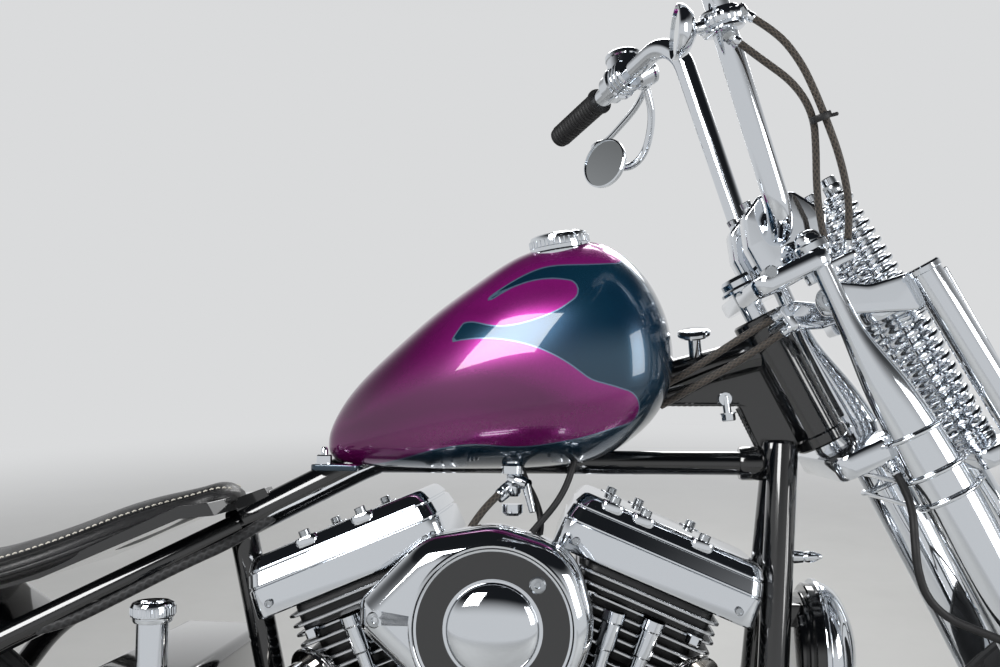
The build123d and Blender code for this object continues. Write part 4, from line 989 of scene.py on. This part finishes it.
def build_bars():
    """Each half of the bar a bent tube, and each grip a turned sleeve rippled every 7 mm."""
    bars, grips = [], []
    for side in (1, -1):
        bars.append(swept(rounded_run([mirrored(p, side) for p in BAR_RUN], [40, 50], 18), 12.7, 32))
        a, b = mirrored(GRIP_INNER, side), mirrored(GRIP_OUTER, side)
        length = np.linalg.norm(b - a)
        h = np.linspace(4, length - 6, 120)
        r = 15.4 + 0.9 * np.tanh(3 * np.sin(h * 2 * math.pi / 7.0))
        rows = [(0, 0), (18, 0), (18.5, 1.5), (18.5, 3.5), *zip(r, h), (15, length - 3), (11, length),
                (0, length + 0.5)]
        grips.append(lathe(rows, a, b - a, 40))
    piece("handlebar_plated", bars, "steering", CHROME, "handlebar")
    piece("hand_grips_moulded", grips, "steering", RUBBER, "hand_grips", sharp=50)


MIRROR_STEM = [(176, 226, 1300), (186, 240, 1266), (184, 252, 1234), (174, 262, 1208), (158, 268, 1196),
               (138, 270, 1196)]
LEVER_RUN = [(182, 232, 1304), (170, 268, 1284), (148, 312, 1266), (126, 350, 1252), (112, 376, 1250)]
RING_PLACE, RING_WAY = (233, -126.6, 1250), (-88, -26, 292)


def round_mirror(place, facing, radius, deep):
    """A domed back with a rolled rim round flat glass."""
    k = radius / 35
    back = [(0, -deep), (10 * k, -deep), (26 * k, -deep * 0.67), (34 * k, -3), (radius, 0), (radius, 3),
            (33 * k, 4), (33 * k, 1.5), (0, 1.5)]
    glass = [(0, 1.0), (32.6 * k, 1.0), (32.6 * k, 1.9), (0, 1.9)]
    return [lathe(back, place, facing, 56), lathe(glass, place, facing, 56, 1)]


def build_controls():
    """On each side a clamp, a reservoir cup and a ball-ended lever; a hanging mirror on the left."""
    body = [(0, -16), (19, -16), (21, -13), (21, 10), (24, 12), (24, 16), (20, 18), (20, 34), (0, 34)]
    cup = [(0, -14), (15, -14), (17, -11), (17, 9), (19, 11), (19, 15), (16, 18), (0, 19)]
    pot = [(0, 0), (22, 0), (23.5, 1.5), (23.5, 20), (25, 21.5), (25, 27), (23, 29), (8, 31), (0, 31)]
    reach, stations = np.linspace(0, 1, 40), [0, .1, .85, .93, 1]
    depth, width = (np.interp(reach, stations, rows) for rows in ([9, 6.5, 5.5, 8, 7], [6, 4, 3.5, 8, 7]))
    shapes = []
    for side in (1, -1):
        along, clamp = unit(mirrored((-60, 98, -27), side)), mirrored((150, 228, 1308), side)
        shapes.append(lathe(body, clamp, along, 40))
        for h in (-10, -2, 6):
            shapes.append(lathe([(20, h - 1.5), (22.6, h - 1), (22.6, h + 1), (20, h + 1.5), (20, h - 1.5)],
                                clamp, along, 40))
        shapes.append(lathe(cup, mirrored((172, 222, 1310), side), (0.75, 0.35 * side, 0.5), 36))
        shapes.append(lathe(pot, mirrored((152, 238, 1316), side), (-0.12, 0.2 * side, 1), 44))
        lever = flowing([mirrored(p, side) for p in LEVER_RUN], 40)
        shapes.append(swept(lever, depth, 20, flat=width))
        shapes += [cap_screw(clamp + along * k + X * 18 - Z * 4, X, 4, 5, 2) for k in (-7, 7)]
    shapes += [swept(flowing(MIRROR_STEM, 40), 5.2, 18), ball((176, 226, 1298), 9),
               ball((138, 270, 1197), 7.5)]
    shapes += round_mirror((124, 262, 1199), (-0.62, -0.76, 0.15), 35, 10)
    piece("hand_controls_plated", shapes, "steering", [CHROME, MIRROR_GLASS, ZINC], "hand_controls")


def build_riser_clamp():
    """Scalloped ring clamp on the right upright, its small mirror and the elbows of two cables."""
    along = unit(RING_WAY)
    shapes = [lathe([(12.6, -11), (20, -11), (22, -9.5), (22, -6.5), (21, -5), (21, 7), (20.6, 10), (19, 12),
                     (12.6, 12)], RING_PLACE, along, 48)]
    height = np.array([-5, -4, -1, 3, 6, 7])[:, None]
    reach = np.array([22.6, 24.4, 25.4, 25.4, 24.4, 22.6])[:, None]
    a = np.linspace(0, 2 * math.pi, 144, endpoint=False)
    radius = reach + 0.9 * np.abs(np.sin(a * 9))
    side, lift = square_to(along)
    ring = np.cos(a)[None, :, None] * side + np.sin(a)[None, :, None] * lift
    scallops = np.asarray(RING_PLACE, float) + height[..., None] * along + radius[..., None] * ring
    shapes.append((capped(scallops), False, 0))
    shapes.append(swept(flowing([(226, -132, 1246), (208, -139, 1240), (190, -143, 1234)], 16), 6, 18))
    shapes += round_mirror((188, -143.6, 1234.4), (-1, -0.1, 0.06), 28, 17)
    root = np.array([233, -130, 1246.0])
    for route in CONTROL_CABLES:
        x, y, z = route[0]
        run = flowing([root, ((233 + x) / 2, (y - 131) / 2, (1246 + z) / 2 + 2), route[0]], 14)
        shapes.append(swept(run, 6, 18))
        shapes.append(lathe([(0, -3), (7, -3), (7.4, -2), (7.4, 5), (6, 6), (0, 6)], route[0],
                            route[0] - root, 6, 2))
    piece("riser_clamp_plated", shapes, "steering", [CHROME, MIRROR_GLASS, ZINC], sharp=40)


def build_headlamp():
    """A deep plated shell with a rolled rim, a polished bowl and bulb behind shallow fluted glass."""
    shell = [(0, 0), (20, 2), (38, 10), (54, 28), (62, 50), (66, 72), (66, 76), (68, 78), (69, 80), (69, 86),
             (67, 88.4), (64, 88.4), (63, 86), (60, 78), (50, 62), (34, 50), (16, 44), (0, 43)]
    glass = [(0, 92), (30, 90.6), (50, 88.4), (62.6, 85), (62.6, 83), (50, 86), (30, 88), (0, 89.4)]
    shapes = [lathe(shell, (566, 0, 836), X, 72), lathe(glass, (566, 0, 836), X, 72, 1),
              ball((620, 0, 836), 9, 2, X, 1.5), rod((608, 0, 836), (616, 0, 836), 11),
              block(level_plane(552, 0, 806), 22, 30, 52, 2 * LEG_Y - 40, 10, 2),
              rod((566, 0, 830), (548, 0, 832), 12)]
    piece("headlamp_plated", shapes, "steering", [CHROME, LENS, BULB], "headlamp")


# Wheels
GROOVE_PITCH, GROOVE_DEPTH = 32, 3.2
SPROCKET_TEETH, SPROCKET_R, TOOTH = 48, 108, 3.5


def tyre_surface(axle, outer, width, rim):
    """Round section swept about the axle: radius from a rounded crown, cut by slanted tread grooves."""
    half = width / 2
    a = np.linspace(0, 2 * math.pi, 720, endpoint=False)[:, None]
    s = np.linspace(-1, 1, 61)
    crown = outer - half * 0.98 + half * 0.98 * np.sqrt(np.clip(1 - (s * 0.985) ** 2, 0, 1))
    low = np.array([(half * 0.97, outer - half * 1.15), (half * 0.86, outer - half * 1.5),
                    (half * 0.64, rim + 2), (half * 0.6, rim - 6), (0, rim - 8)])
    section_y = np.concatenate([-low[::-1, 0][1:], half * s, low[:-1, 0], [0]])
    section_r = np.concatenate([low[::-1, 1][1:], crown, low[:-1, 1], [rim - 8]])
    across = np.abs(section_y) / half
    tread = section_r > outer - half
    grooves = round(2 * math.pi * outer / GROOVE_PITCH)
    phase = a * grooves + 5.0 * across * np.sign(section_y + 1e-9)
    slant = np.clip((np.cos(phase) - 0.72) / 0.1, 0, 1) * ((across > 0.22) & (across < 0.82) & tread)
    centre = np.clip((0.05 - np.abs(across - 0.16)) / 0.02, 0, 1) * tread
    r = section_r - np.maximum(slant, centre) * GROOVE_DEPTH
    y = np.broadcast_to(section_y, r.shape)
    return np.stack([axle[0] + r * np.cos(a), y, axle[1] + r * np.sin(a)], axis=-1), True, 0


def wheel_surfaces(axle, rim, width, hub_half, hub_r, spokes):
    """Drop-centre rim and flanged hub as turned rings, and spokes that lean 24 degrees each way."""
    base = np.array([axle[0], 0, axle[1]])
    w = width * 0.31
    rim_rows = both_ways([(rim - 22, -w * 0.55), (rim - 18, -w * 0.75), (rim - 6, -w * 0.86), (rim + 3, -w),
                          (rim + 4, -w - 2), (rim + 2, -w - 3), (rim - 8, -w * 0.98), (rim - 22, -w * 0.8),
                          (rim - 26, -w * 0.5), (rim - 27, 0)])
    hub_rows = both_ways([(10.1, -hub_half - 1), (18, -hub_half - 1), (hub_r - 14, -hub_half + 2),
                          (hub_r, -hub_half + 5), (hub_r, -hub_half + 11), (hub_r - 12, -hub_half + 14),
                          (28, -hub_half + 26), (25, 0)])
    shapes = [hoop(rim_rows + [(rim - 20, w * 0.4), (rim - 20, -w * 0.4)], base, Y, 120),
              hoop(hub_rows + [(10.1, hub_half), (10.1, -hub_half)], base, Y, 64)]
    for i in range(spokes):
        side = 1 if i % 2 else -1
        a = 2 * math.pi * i / spokes
        lean = math.radians(24) * (1 if (i // 2) % 2 else -1)
        low = base + np.array([math.cos(a) * (hub_r - 5), side * (hub_half - 8), math.sin(a) * (hub_r - 5)])
        high = base + np.array([math.cos(a + lean) * (rim - 22), side * 3, math.sin(a + lean) * (rim - 22)])
        shapes += [rod(low, high, 2.0, sides=8, finish=1, edge=0.5),
                   rod(high - unit(high - low) * 16, high, 3.4, sides=8, finish=1, edge=0.5)]
    return shapes


def disc_surfaces(axle, y, outer, inner, thick, holes, carrier):
    """Ring plate with three circles of drilled holes, each drawn as a thin dark disc on both faces, which is
    painted shade in place of a hole; and its carrier.
    """
    base = np.array([axle[0], y, axle[1]])
    half = thick / 2
    shapes = [hoop([(inner, -half), (outer - 0.6, -half), (outer, -half + 0.6), (outer, half - 0.6),
                    (outer - 0.6, half), (inner, half)], base, Y, 96)]
    # Painted shade: each drilled hole is a thin dark steel disc on both faces, not a hole.
    hole_shade_disc = [(0, half - 0.1), (3.8, half - 0.1), (3.8, half + 0.12), (0, half + 0.12)]
    for i in range(holes):
        a = 2 * math.pi * i / holes
        r = outer - 12 - (i % 3) * 12
        place = base + r * (np.cos(a) * X + np.sin(a) * Z)
        shapes += [lathe(hole_shade_disc, place, Y * way, 14, 1) for way in (1, -1)]
    return shapes + [hoop(carrier, base, Y, 64, 2)]


def build_wheels():
    """Tyre, laced wheel and disc of each end, and the toothed rear sprocket."""
    for name, axle, outer, width, rim, half, hub_r in (
            ("front", FRONT_AXLE, FRONT_R, FRONT_WIDTH, FRONT_RIM_R, 58, 46),
            ("rear", REAR_AXLE, REAR_R, REAR_WIDTH, REAR_RIM_R, 68, 56)):
        wheel = name + "_wheel"
        piece(name + "_tyre_treaded", [tyre_surface(axle, outer, width, rim)], wheel, TYRE_RUBBER,
              name + "_tyre", sharp=40)
        piece(name + "_wheel_laced", wheel_surfaces(axle, rim, width, half, hub_r, 40), wheel, [CHROME, ZINC],
              wheel)
    for name, disc in (
            ("front", (FRONT_AXLE, 61, 145, 84, 5, 36, [(21, -2), (86, -2), (86, 2), (21, 2)])),
            ("rear", (REAR_AXLE, -84, 115, 62, 5, 30, [(21, -2.5), (64, -2.5), (64, 2.5), (40, 3), (40, 15.5),
                                                       (21, 15.5)]))):
        piece(name + "_disc_drilled", disc_surfaces(*disc), name + "_wheel",
              [GROUND_STEEL, DARK_STEEL, POLISHED], name + "_disc")
    a = np.linspace(0, 2 * math.pi, SPROCKET_TEETH * 8, endpoint=False)
    r = SPROCKET_R + TOOTH * np.clip(np.cos(a * SPROCKET_TEETH) * 1.6, -1, 1)
    outline = np.stack([REAR_AXLE[0] + r * np.cos(a), REAR_AXLE[1] + r * np.sin(a)], axis=1)
    sprocket = [plate(outline, -3.2, 3.2, side_plane(80, 1), edge=0.8, arc=3),
                lathe([(0, -8), (40, -8), (40, 0), (0, 0)], (REAR_AXLE[0], 77, REAR_AXLE[1]), Y, 48, 1)]
    piece("rear_sprocket_toothed", sprocket, "rear_wheel", [GROUND_STEEL, POLISHED], "rear_sprocket")


CHAIN_PITCH = 15.9
FRONT_LOOP_R, REAR_LOOP_R = 55.0, 121.0


def build_chain():
    """Roller chain: pins every 15.9 mm round the loop, rollers on them, and waisted side plates between."""
    ra, rb = FRONT_LOOP_R, REAR_LOOP_R
    a, b = np.array(CLUTCH), np.array(REAR_AXLE)
    reach = np.linalg.norm(a - b)
    tip = math.atan2(a[1] - b[1], a[0] - b[0])
    wrap = math.asin((rb - ra) / reach)
    top, low = tip + math.pi / 2 - wrap, tip - math.pi / 2 + wrap
    arc_a = np.linspace(low, top, 60)
    arc_b = np.linspace(top, low + 2 * math.pi, 90)
    loop = np.concatenate([np.stack([a[0] + ra * np.cos(arc_a), a[1] + ra * np.sin(arc_a)], axis=1),
                           np.stack([b[0] + rb * np.cos(arc_b), b[1] + rb * np.sin(arc_b)], axis=1)])
    loop = np.concatenate([loop, loop[:1]])
    run = distance_along(loop)
    links = int(round(run[-1] / CHAIN_PITCH / 2) * 2)
    at = np.linspace(0, run[-1], links, endpoint=False)
    pins = np.stack([np.interp(at, run, loop[:, 0]), np.interp(at, run, loop[:, 1])], axis=1)
    shapes = []
    for i in range(links):
        p, q = pins[i], pins[(i + 1) % links]
        shapes.append(rod((p[0], 75.2, p[1]), (p[0], 84.8, p[1]), 4.6, sides=12, finish=1, edge=0.4))
        along = unit(q - p)
        across = np.array([-along[1], along[0]])
        k = np.linspace(-math.pi / 2, math.pi / 2, 6)[:, None]
        left = p - 5.6 * (np.cos(k) * along) + 5.6 * np.sin(k) * across
        right = q + 5.6 * (np.cos(k) * along) - 5.6 * np.sin(k) * across
        outline = np.concatenate([left, (p + q)[None] / 2 + 4.0 * across, right,
                                  (p + q)[None] / 2 - 4.0 * across])
        gap = 0.0 if i % 2 else 1.5
        for y0 in (75.9 - gap, 82.6 + gap):
            shapes.append(plate(outline, y0, y0 + 1.4, (np.zeros(3), X, Z, Y), 0.3, 0.3, 2))
    piece("drive_chain_linked", shapes, "frame", [CHAIN_STEEL, ZINC], "drive_chain")


# Seat
SEAM_INSET, STITCH_PITCH = 9, 7.0


def build_seat():
    """Thin solo saddle: rounded sections along its run, crowned on top and pinched at a sewn edge."""
    rows = [  # distance forwards, x, edge height, half width, pad depth, crown
        (0.0, -656, 684, 30, 12, 4), (0.05, -648, 680, 66, 20, 8), (0.2, -600, 676, 100, 27, 12),
        (0.4, -530, 688, 108, 30, 12), (0.6, -455, 712, 96, 30, 12), (0.78, -385, 740, 66, 28, 10),
        (0.92, -325, 760, 38, 22, 8), (0.98, -300, 766, 26, 16, 6), (1.0, -291, 767, 12, 8, 3)]
    t = np.linspace(0, 1, 120)
    x, edge, half, deep, crown = spline(rows, t).T
    a = np.linspace(0, 2 * math.pi, 96, endpoint=False)[None, :]
    c, s = np.cos(a), np.sin(a)
    y = half[:, None] * np.sign(c) * np.abs(c) ** 0.62
    groove = np.exp(-((np.abs(y) - half[:, None] + SEAM_INSET) / 2.2) ** 2) * 1.6
    swell = crown[:, None] * (1 - (y / np.maximum(half[:, None], 1)) ** 2)
    top = (deep * 0.55)[:, None] * np.abs(s) ** 0.55 + swell - groove
    up = np.where(s >= 0, top, -(deep * 0.45)[:, None] * np.abs(s) ** 0.5)
    tilted_x = x[:, None] - up * np.gradient(edge, x)[:, None] * 0.5
    grid = np.stack(np.broadcast_arrays(tilted_x, y, edge[:, None] - 6 + up), axis=-1)
    seat = piece("seat_cushion_sewn", [(capped(grid), False, 0)], "frame", LEATHER, "seat_cushion",
                 sharp=70)
    stitches, pipes = [], []
    inner = half - SEAM_INSET
    k = np.where(inner > 4)[0]
    seam_z = (edge - 6)[k] + (deep * 0.55)[k] * 0.93 ** 0.5 + crown[k] * (1 - (inner[k] / half[k]) ** 2) - 0.6
    for side in (1, -1):
        line = np.stack([x[k], side * inner[k], seam_z], axis=1)
        run = distance_along(line)
        for d in np.arange(2, run[-1] - 5, STITCH_PITCH):
            ends = np.array([[np.interp(d + e, run, line[:, j]) for j in range(3)] for e in (0, 2.2, 4.4)])
            ends[1] += Z * 0.7
            stitches.append(swept(ends, [0.7, 0.9, 0.7], 8))
        rim = np.stack([x, side * (half + 0.5), edge - 7], axis=1)
        pipes.append(swept(rim[2:-2], 3.2, 12))
    piece("seat_stitching", stitches, "frame", THREAD)
    piece("seat_piping", pipes, "frame", LEATHER)


FILLER = np.array([-341.0, -124.0, 0.0])
CAP_BAR_TURN = 1.047


def build_oil_tank():
    """A rounded black tank, and its neck with a milled cap crossed by three bars."""
    outline = rounded_outline([(-292, 440, 12), (-298, 596, 12), (-400, 598, 16), (-440, 560, 20),
                               (-428, 440, 12)], 8)
    tank = plate(outline, -140, 140, side_plane(0), edge=14, back_edge=14, arc=6)
    black_piece("oil_tank_enamelled", [tank], "oil_tank")
    neck = [(0, -6), (19, -6), (20, -3), (20, 2), (16, 5), (16, 54), (19, 55), (20, 57), (20, 60), (0, 60)]
    cap = [(0, 60), (21, 60), (22, 61.5), (22, 71), (20.5, 74), (17, 75.5), (14, 74), (0, 74)]
    chrome = [lathe(neck, FILLER + Z * 590, Z, 48), lathe(cap, FILLER + Z * 590, Z, 64)]
    chrome += milled_edge(FILLER, X, Y, 21.8, 40, 652.5, 660.5, 0.9)
    for k in range(3):
        c, s = math.cos(k * CAP_BAR_TURN), math.sin(k * CAP_BAR_TURN)
        bar = (FILLER + Z * 663.5, np.array([c, s, 0]), np.array([-s, c, 0]), Z)
        chrome.append(block(bar, 0, 2.2, 26, 5, 2, 0.8))
    piece("oil_filler_plated", chrome, "frame", CHROME)


HORN = np.array([330.0, 0.0, 602.0])
HORN_R = 76.0


def build_horn():
    """A deep plated dome over a stepped black drum, hung on a block between the downtubes."""
    a = np.linspace(0, math.pi / 2, 22)[:-1]
    dome = [(0, 7), (HORN_R, 7), (HORN_R + 0.6, 8), (HORN_R + 0.6, 11), (HORN_R - 1, 12.4),
            (HORN_R - 2.4, 13)]
    dome += list(zip((HORN_R - 2.4) * np.cos(a), 13 + 36 * np.sin(a))) + [(0, 49)]
    drum = [(0, -14), (52, -14), (54, -12.6), (54, -8), (62, -8), (64, -6.6), (64, -3), (70, -3), (72, -1.6),
            (72, 7), (0, 7)]
    shapes = [lathe(dome, HORN, X, 96), lathe(drum, HORN, X, 80, 1),
              block(level_plane(306, 0, 644), -12, 12, 40, 58, 8, 2, 1)]
    shapes += [cap_screw((323, y, 650), X, 5, 4, 2) for y in (-18, 18)]
    piece("horn_domed", shapes, "frame", [CHROME, GLOSS_BLACK, ZINC], "horn")
    lug = [block((np.array([304, -27, 708.0]), Z, Y, X), -16, 4, 46, 20, 5, 2, 1),
           rod((306, -30, 706), (324, -32, 706), 8, 6),
           lathe([(0, 0), (11, 0), (12, 1), (12, 4), (0, 5)], (307, -30, 706), X, 28),
           lathe([(0, 0), (5, 0), (6, 3), (6, 9), (2, 18), (0, 19)], (324, -32, 706), (1, -0.1, 0.05), 20)]
    piece("downtube_lug", lug, "frame", [CHROME, DARK_STEEL])


def build_fender():
    """Thin shell: a flat-topped section with turned-down sides carried round the axle."""
    x, z = REAR_AXLE
    a = np.radians(np.linspace(180 - 8, 52, 90))
    outer = [(-80, 340), (-80, 362), (-76, 370), (-60, 373.5), (0, 374), (60, 373.5), (76, 370), (80, 362),
             (80, 340)]
    inner = [(y * 0.965, r - 3.2 if abs(y) < 79 else r) for y, r in outer[::-1]]
    y, r = (np.broadcast_to(v, (len(a), len(v))) for v in np.array(outer + inner).T)
    grid = np.stack([x + r * np.cos(a)[:, None], y, z + r * np.sin(a)[:, None]], axis=-1)
    struts = []
    for side in (1, -1):
        run = flowing([(-770, side * 99, 350), (-930, side * 92, 420), (-1075, side * 82, 480)], 24)
        struts += [swept(run, 6, 16, finish=1), *hex_bolt((-1070, side * 84, 478), Y * side, 12, 6, finish=1)]
    piece("rear_fender_shell", [(capped(grid), False, 0)] + struts, "frame", [GLOSS_BLACK, CHROME],
          "rear_fender")
    place, way = (-1094, 0, 520), (-0.965, 0, 0.263)
    lamp = [lathe([(0, 0), (30, 0), (35, 6), (36, 20), (36, 40), (34, 42)], place, way, 48),
            lathe([(0, 38), (34, 38), (33, 46), (26, 54), (0, 57)], place, way, 48, 1)]
    piece("tail_lamp_round", lamp, "frame", [CHROME, RED_LENS], "tail_lamp")


def cord_line(route):
    """The smooth line of a cord: a quadratic spline that starts and ends on its route's ends."""
    curve = bpy.data.curves.new("route", "CURVE")
    curve.dimensions = "3D"
    curve.resolution_u = 10
    line = curve.splines.new("NURBS")
    line.points.add(len(route) - 1)
    for point, place in zip(line.points, route):
        point.co = (*place, 1)
    line.order_u = 3
    line.use_endpoint_u = True
    holder = bpy.data.objects.new("route", curve)
    mesh = bpy.data.meshes.new_from_object(holder)
    points = np.zeros(3 * len(mesh.vertices))
    mesh.vertices.foreach_get("co", points)
    bpy.data.objects.remove(holder)
    bpy.data.curves.remove(curve)
    bpy.data.meshes.remove(mesh)
    return points.reshape(-1, 3)


def ferrule(line, diameter, at_end):
    """A crimped sleeve over one end of a cord."""
    place = line[-1] if at_end else line[0]
    way = line[-4] - line[-1] if at_end else line[3] - line[0]
    r = diameter / 2
    rows = [(0, -1), (r + 1, -1), (r + 1.3, 0.5), (r + 1.3, 6), (r + 0.8, 7), (r + 1.3, 8), (r + 1.3, 13),
            (r + 0.3, 14.5), (0, 14.5)]
    return lathe(rows, place, way, 24, 1)


def build_cords():
    """Each cord follows its route; a ferrule goes on the ends that show."""
    for name, routes, diameter, body, sheath, sleeved in (
            ("control_cables", CONTROL_CABLES, 7.5, "steering", BRAID, (False, True)),
            ("brake_hose", (BRAKE_HOSE,), 8, "steering", RUBBER, (False, True)),
            ("neck_hoses", NECK_HOSES, 8, "frame", BRAID, (True,)),
            ("petcock_hose", (PETCOCK_HOSE,), 8, "frame", BRAID, (False, True)),
            ("carburettor_cables", CARB_CABLES, 7, "frame", RUBBER, ()),
            ("seat_loom", (SEAT_LOOM,), 12, "frame", BLACK_BRAID, ())):
        shapes = []
        for route in routes:
            line = cord_line(route)
            shapes.append(swept(line, diameter / 2, 18))
            shapes += [ferrule(line, diameter, at_end) for at_end in sleeved]
        piece(name, shapes, body, [sheath, CHROME])
    tie = [lathe([(0, -3.5), (10.5, -3.5), (11, -2.5), (11, 2.5), (10.5, 3.5), (0, 3.5)], (328, -131.5, 1149),
                 (0.35, 0.2, -0.9), 24), rod((337, -134, 1150), (344, -137, 1151), 2, sides=8)]
    piece("cable_tie", tie, "steering", RUBBER)


CLIPS = ((BRAKE_HOSE[9], (524, -112, 626)), (BRAKE_HOSE[15], (540, 104, 622)),
         (BRAKE_HOSE[17], (572, 104, 540)))


def build_cord_holders():
    """A stop on the top clamp for the control cables' ends, and clips for the brake hose on the legs."""
    ends = [np.array(route[-1], float) for route in CONTROL_CABLES]
    middle = (ends[0] + ends[1]) / 2 - Z * 8
    shapes = [block((middle, FORK_OUT, Y, FORK_UP), -5, 3, 40, 22, 6, 1.5),
              block((middle - FORK_OUT * 20, FORK_OUT, Y, FORK_UP), -10, 2, 34, 18, 4, 1.5),
              cap_screw(middle - FORK_OUT * 26 + FORK_UP * 2, FORK_UP, 5, 5)]
    for place, anchor in CLIPS:
        shapes += [ball(place, 7.5), rod(place, anchor, 3.2, sides=12)]
    start = np.array(BRAKE_HOSE[0], float)
    shapes += [rod(start - (0, 0, 4), start + (-8, 20, 8), 6), ball(start, 7)]
    piece("cord_holders", shapes, "steering", CHROME)


# Remaining construction pieces keep their shape and get broken edges and a finish
DRESSED = [  # node, finish, body, slot, bevel in mm
    ("axle_plates", GLOSS_BLACK, "frame", "black_paint", 1.2),
    ("rear_axle", CHROME, "frame", "chrome", 0.8),
    ("frame_cross_members", GLOSS_BLACK, "frame", "black_paint", 1.2),
    ("seat_pan", GLOSS_BLACK, "frame", "black_paint", 0.8),
    ("crankcase", CAST, "frame", "aluminium", 3.0),
    ("carburettor", CAST, "frame", "aluminium", 1.5),
    ("transmission", CAST, "frame", "aluminium", 3.0),
    ("foot_controls_right", CHROME, "frame", "chrome", 0.8),
    ("foot_controls_left", CHROME, "frame", "chrome", 0.8),
    ("rear_caliper", POLISHED, "frame", "aluminium", 1.5),
    ("stand_bracket", GLOSS_BLACK, "frame", "black_paint", 0.6),
    ("fork_rockers", CHROME, "steering", "chrome", 1.5),
    ("front_axle", CHROME, "steering", "chrome", 0.8),
    ("front_caliper", POLISHED, "steering", "aluminium", 0.3),  # its inner wall is 1 mm thick
    ("side_stand", CHROME, "side_stand", "chrome", 0.8)]

for build in (build_tank, build_tank_fittings, build_frame, build_neck, build_neck_fittings, build_cylinders,
              build_rocker_boxes, build_pushrods, build_air_cleaner, build_exhausts, build_primary,
              build_cam_cover, build_fork_trees, build_rigid_legs, build_spring_legs, build_springs,
              build_bars, build_controls, build_riser_clamp, build_headlamp, build_wheels, build_chain,
              build_seat, build_oil_tank, build_horn, build_fender, build_cords, build_cord_holders):
    build()
for row in DRESSED:
    dressed(*row)


# Floor, light and camera
HORIZON, CEILING = "#DADBDC", "#1C1E21"


def seen_rays(tree):
    """1 for camera, glossy and transmitted rays, and 0 for the rays that light the object."""
    path = add_node(tree, "ShaderNodeLightPath").outputs
    first = worked_out(tree, "MAXIMUM", path["Is Camera Ray"], path["Is Glossy Ray"])
    return worked_out(tree, "MAXIMUM", first, path["Is Transmission Ray"])


def swept_floor():
    """Pale painted floor that passes into the backdrop's own colour from 1.9 to 5 m out."""
    material = grained("pale_painted_floor", "#D6D6D4", 0.0, 0.55, 0.06, 400, 3.0, 0.02, second="#CFCFCD")
    tree = material.node_tree
    shader, output = tree.nodes["Principled BSDF"], tree.nodes["Material Output"]
    place = add_node(tree, "ShaderNodeTexCoord").outputs["Object"]
    away = add_node(tree, "ShaderNodeVectorMath", {0: place}, operation="LENGTH")
    fade = remap(tree, away.outputs["Value"], 1.9, 5.0, interpolation_type="SMOOTHSTEP")
    seen = worked_out(tree, "MULTIPLY", fade, seen_rays(tree))
    glow = add_node(tree, "ShaderNodeEmission", {"Color": linear(HORIZON), "Strength": 1.0})
    blend = add_node(tree, "ShaderNodeMixShader", {0: seen, 1: shader.outputs[0], 2: glow.outputs[0]})
    tree.links.new(blend.outputs[0], output.inputs["Surface"])
    return material


def axes_matrix(x, y, z, place):
    """The matrix whose columns are three directions and a place."""
    return Matrix([(x[i], y[i], z[i], place[i]) for i in range(3)] + [(0, 0, 0, 1)])


def build_stage():
    """A wide floor, a backdrop that darkens overhead, and three soft boxes aimed at the machine."""
    floor = bpy.data.meshes.new("studio_floor")
    reach = 30.0
    corners = [(-reach, -reach, 0), (reach, -reach, 0), (reach, reach, 0), (-reach, reach, 0)]
    floor.from_pydata(corners, [], [(0, 1, 2, 3)])
    obj = add_object("studio_floor", floor)
    floor.materials.append(swept_floor())
    world = bpy.data.worlds.new("studio_world")
    bpy.context.scene.world = world
    world.use_nodes = True
    tree = world.node_tree
    place = add_node(tree, "ShaderNodeTexCoord").outputs["Generated"]
    height = add_node(tree, "ShaderNodeSeparateXYZ", {"Vector": place}).outputs["Z"]
    fade = remap(tree, height, 0.2, 0.62, interpolation_type="SMOOTHSTEP")
    tree.links.new(mixed(tree, fade, HORIZON, CEILING), tree.nodes["Background"].inputs["Color"])
    tree.nodes["Background"].inputs["Strength"].default_value = 1.0
    for name, place, target, size, power in (  # metres and watts
            ("key_softbox", (-1.6, -2.6, 2.9), (0, 0, 0.7), 1.6, 95),
            ("fill_softbox", (2.8, -1.6, 1.6), (0.2, 0, 0.7), 1.4, 38),
            ("rim_softbox", (0.6, 2.6, 2.6), (0, 0, 0.8), 1.8, 60)):
        lamp = bpy.data.lights.new(name, "AREA")
        lamp.size = size
        lamp.energy = power
        z = unit(np.array(place) - np.array(target))
        x = unit(np.cross(Z, z))
        add_object(name, lamp).matrix_world = axes_matrix(x, np.cross(z, x), z, place)


CAMERA_PLACE = (0.1264, -1.2193, 1.0300)
CAMERA_TURN = (4.4, 4.6, -0.5)
LENS_MM = 38.34


def build_camera():
    """Camera at the photograph's place: turned 4.4 degrees, tilted 4.6 down, rolled -0.5."""
    yaw, pitch, roll = (math.radians(v) for v in CAMERA_TURN)
    ahead = np.array([-math.sin(yaw) * math.cos(pitch), math.cos(yaw) * math.cos(pitch), -math.sin(pitch)])
    right = np.array([math.cos(yaw), math.sin(yaw), 0.0])
    up = np.cross(right, ahead)
    right, up = right * math.cos(roll) + up * math.sin(roll), up * math.cos(roll) - right * math.sin(roll)
    lens = bpy.data.cameras.new("photo_camera")
    lens.sensor_width = 36.0
    lens.lens = LENS_MM
    lens.clip_start = 0.01
    camera = add_object("photo_camera", lens)
    camera.matrix_world = axes_matrix(right, up, -ahead, CAMERA_PLACE)
    bpy.context.scene.camera = camera


build_stage()
build_camera()
bpy.context.scene.view_settings.view_transform = "Standard"
bpy.context.view_layer.update()
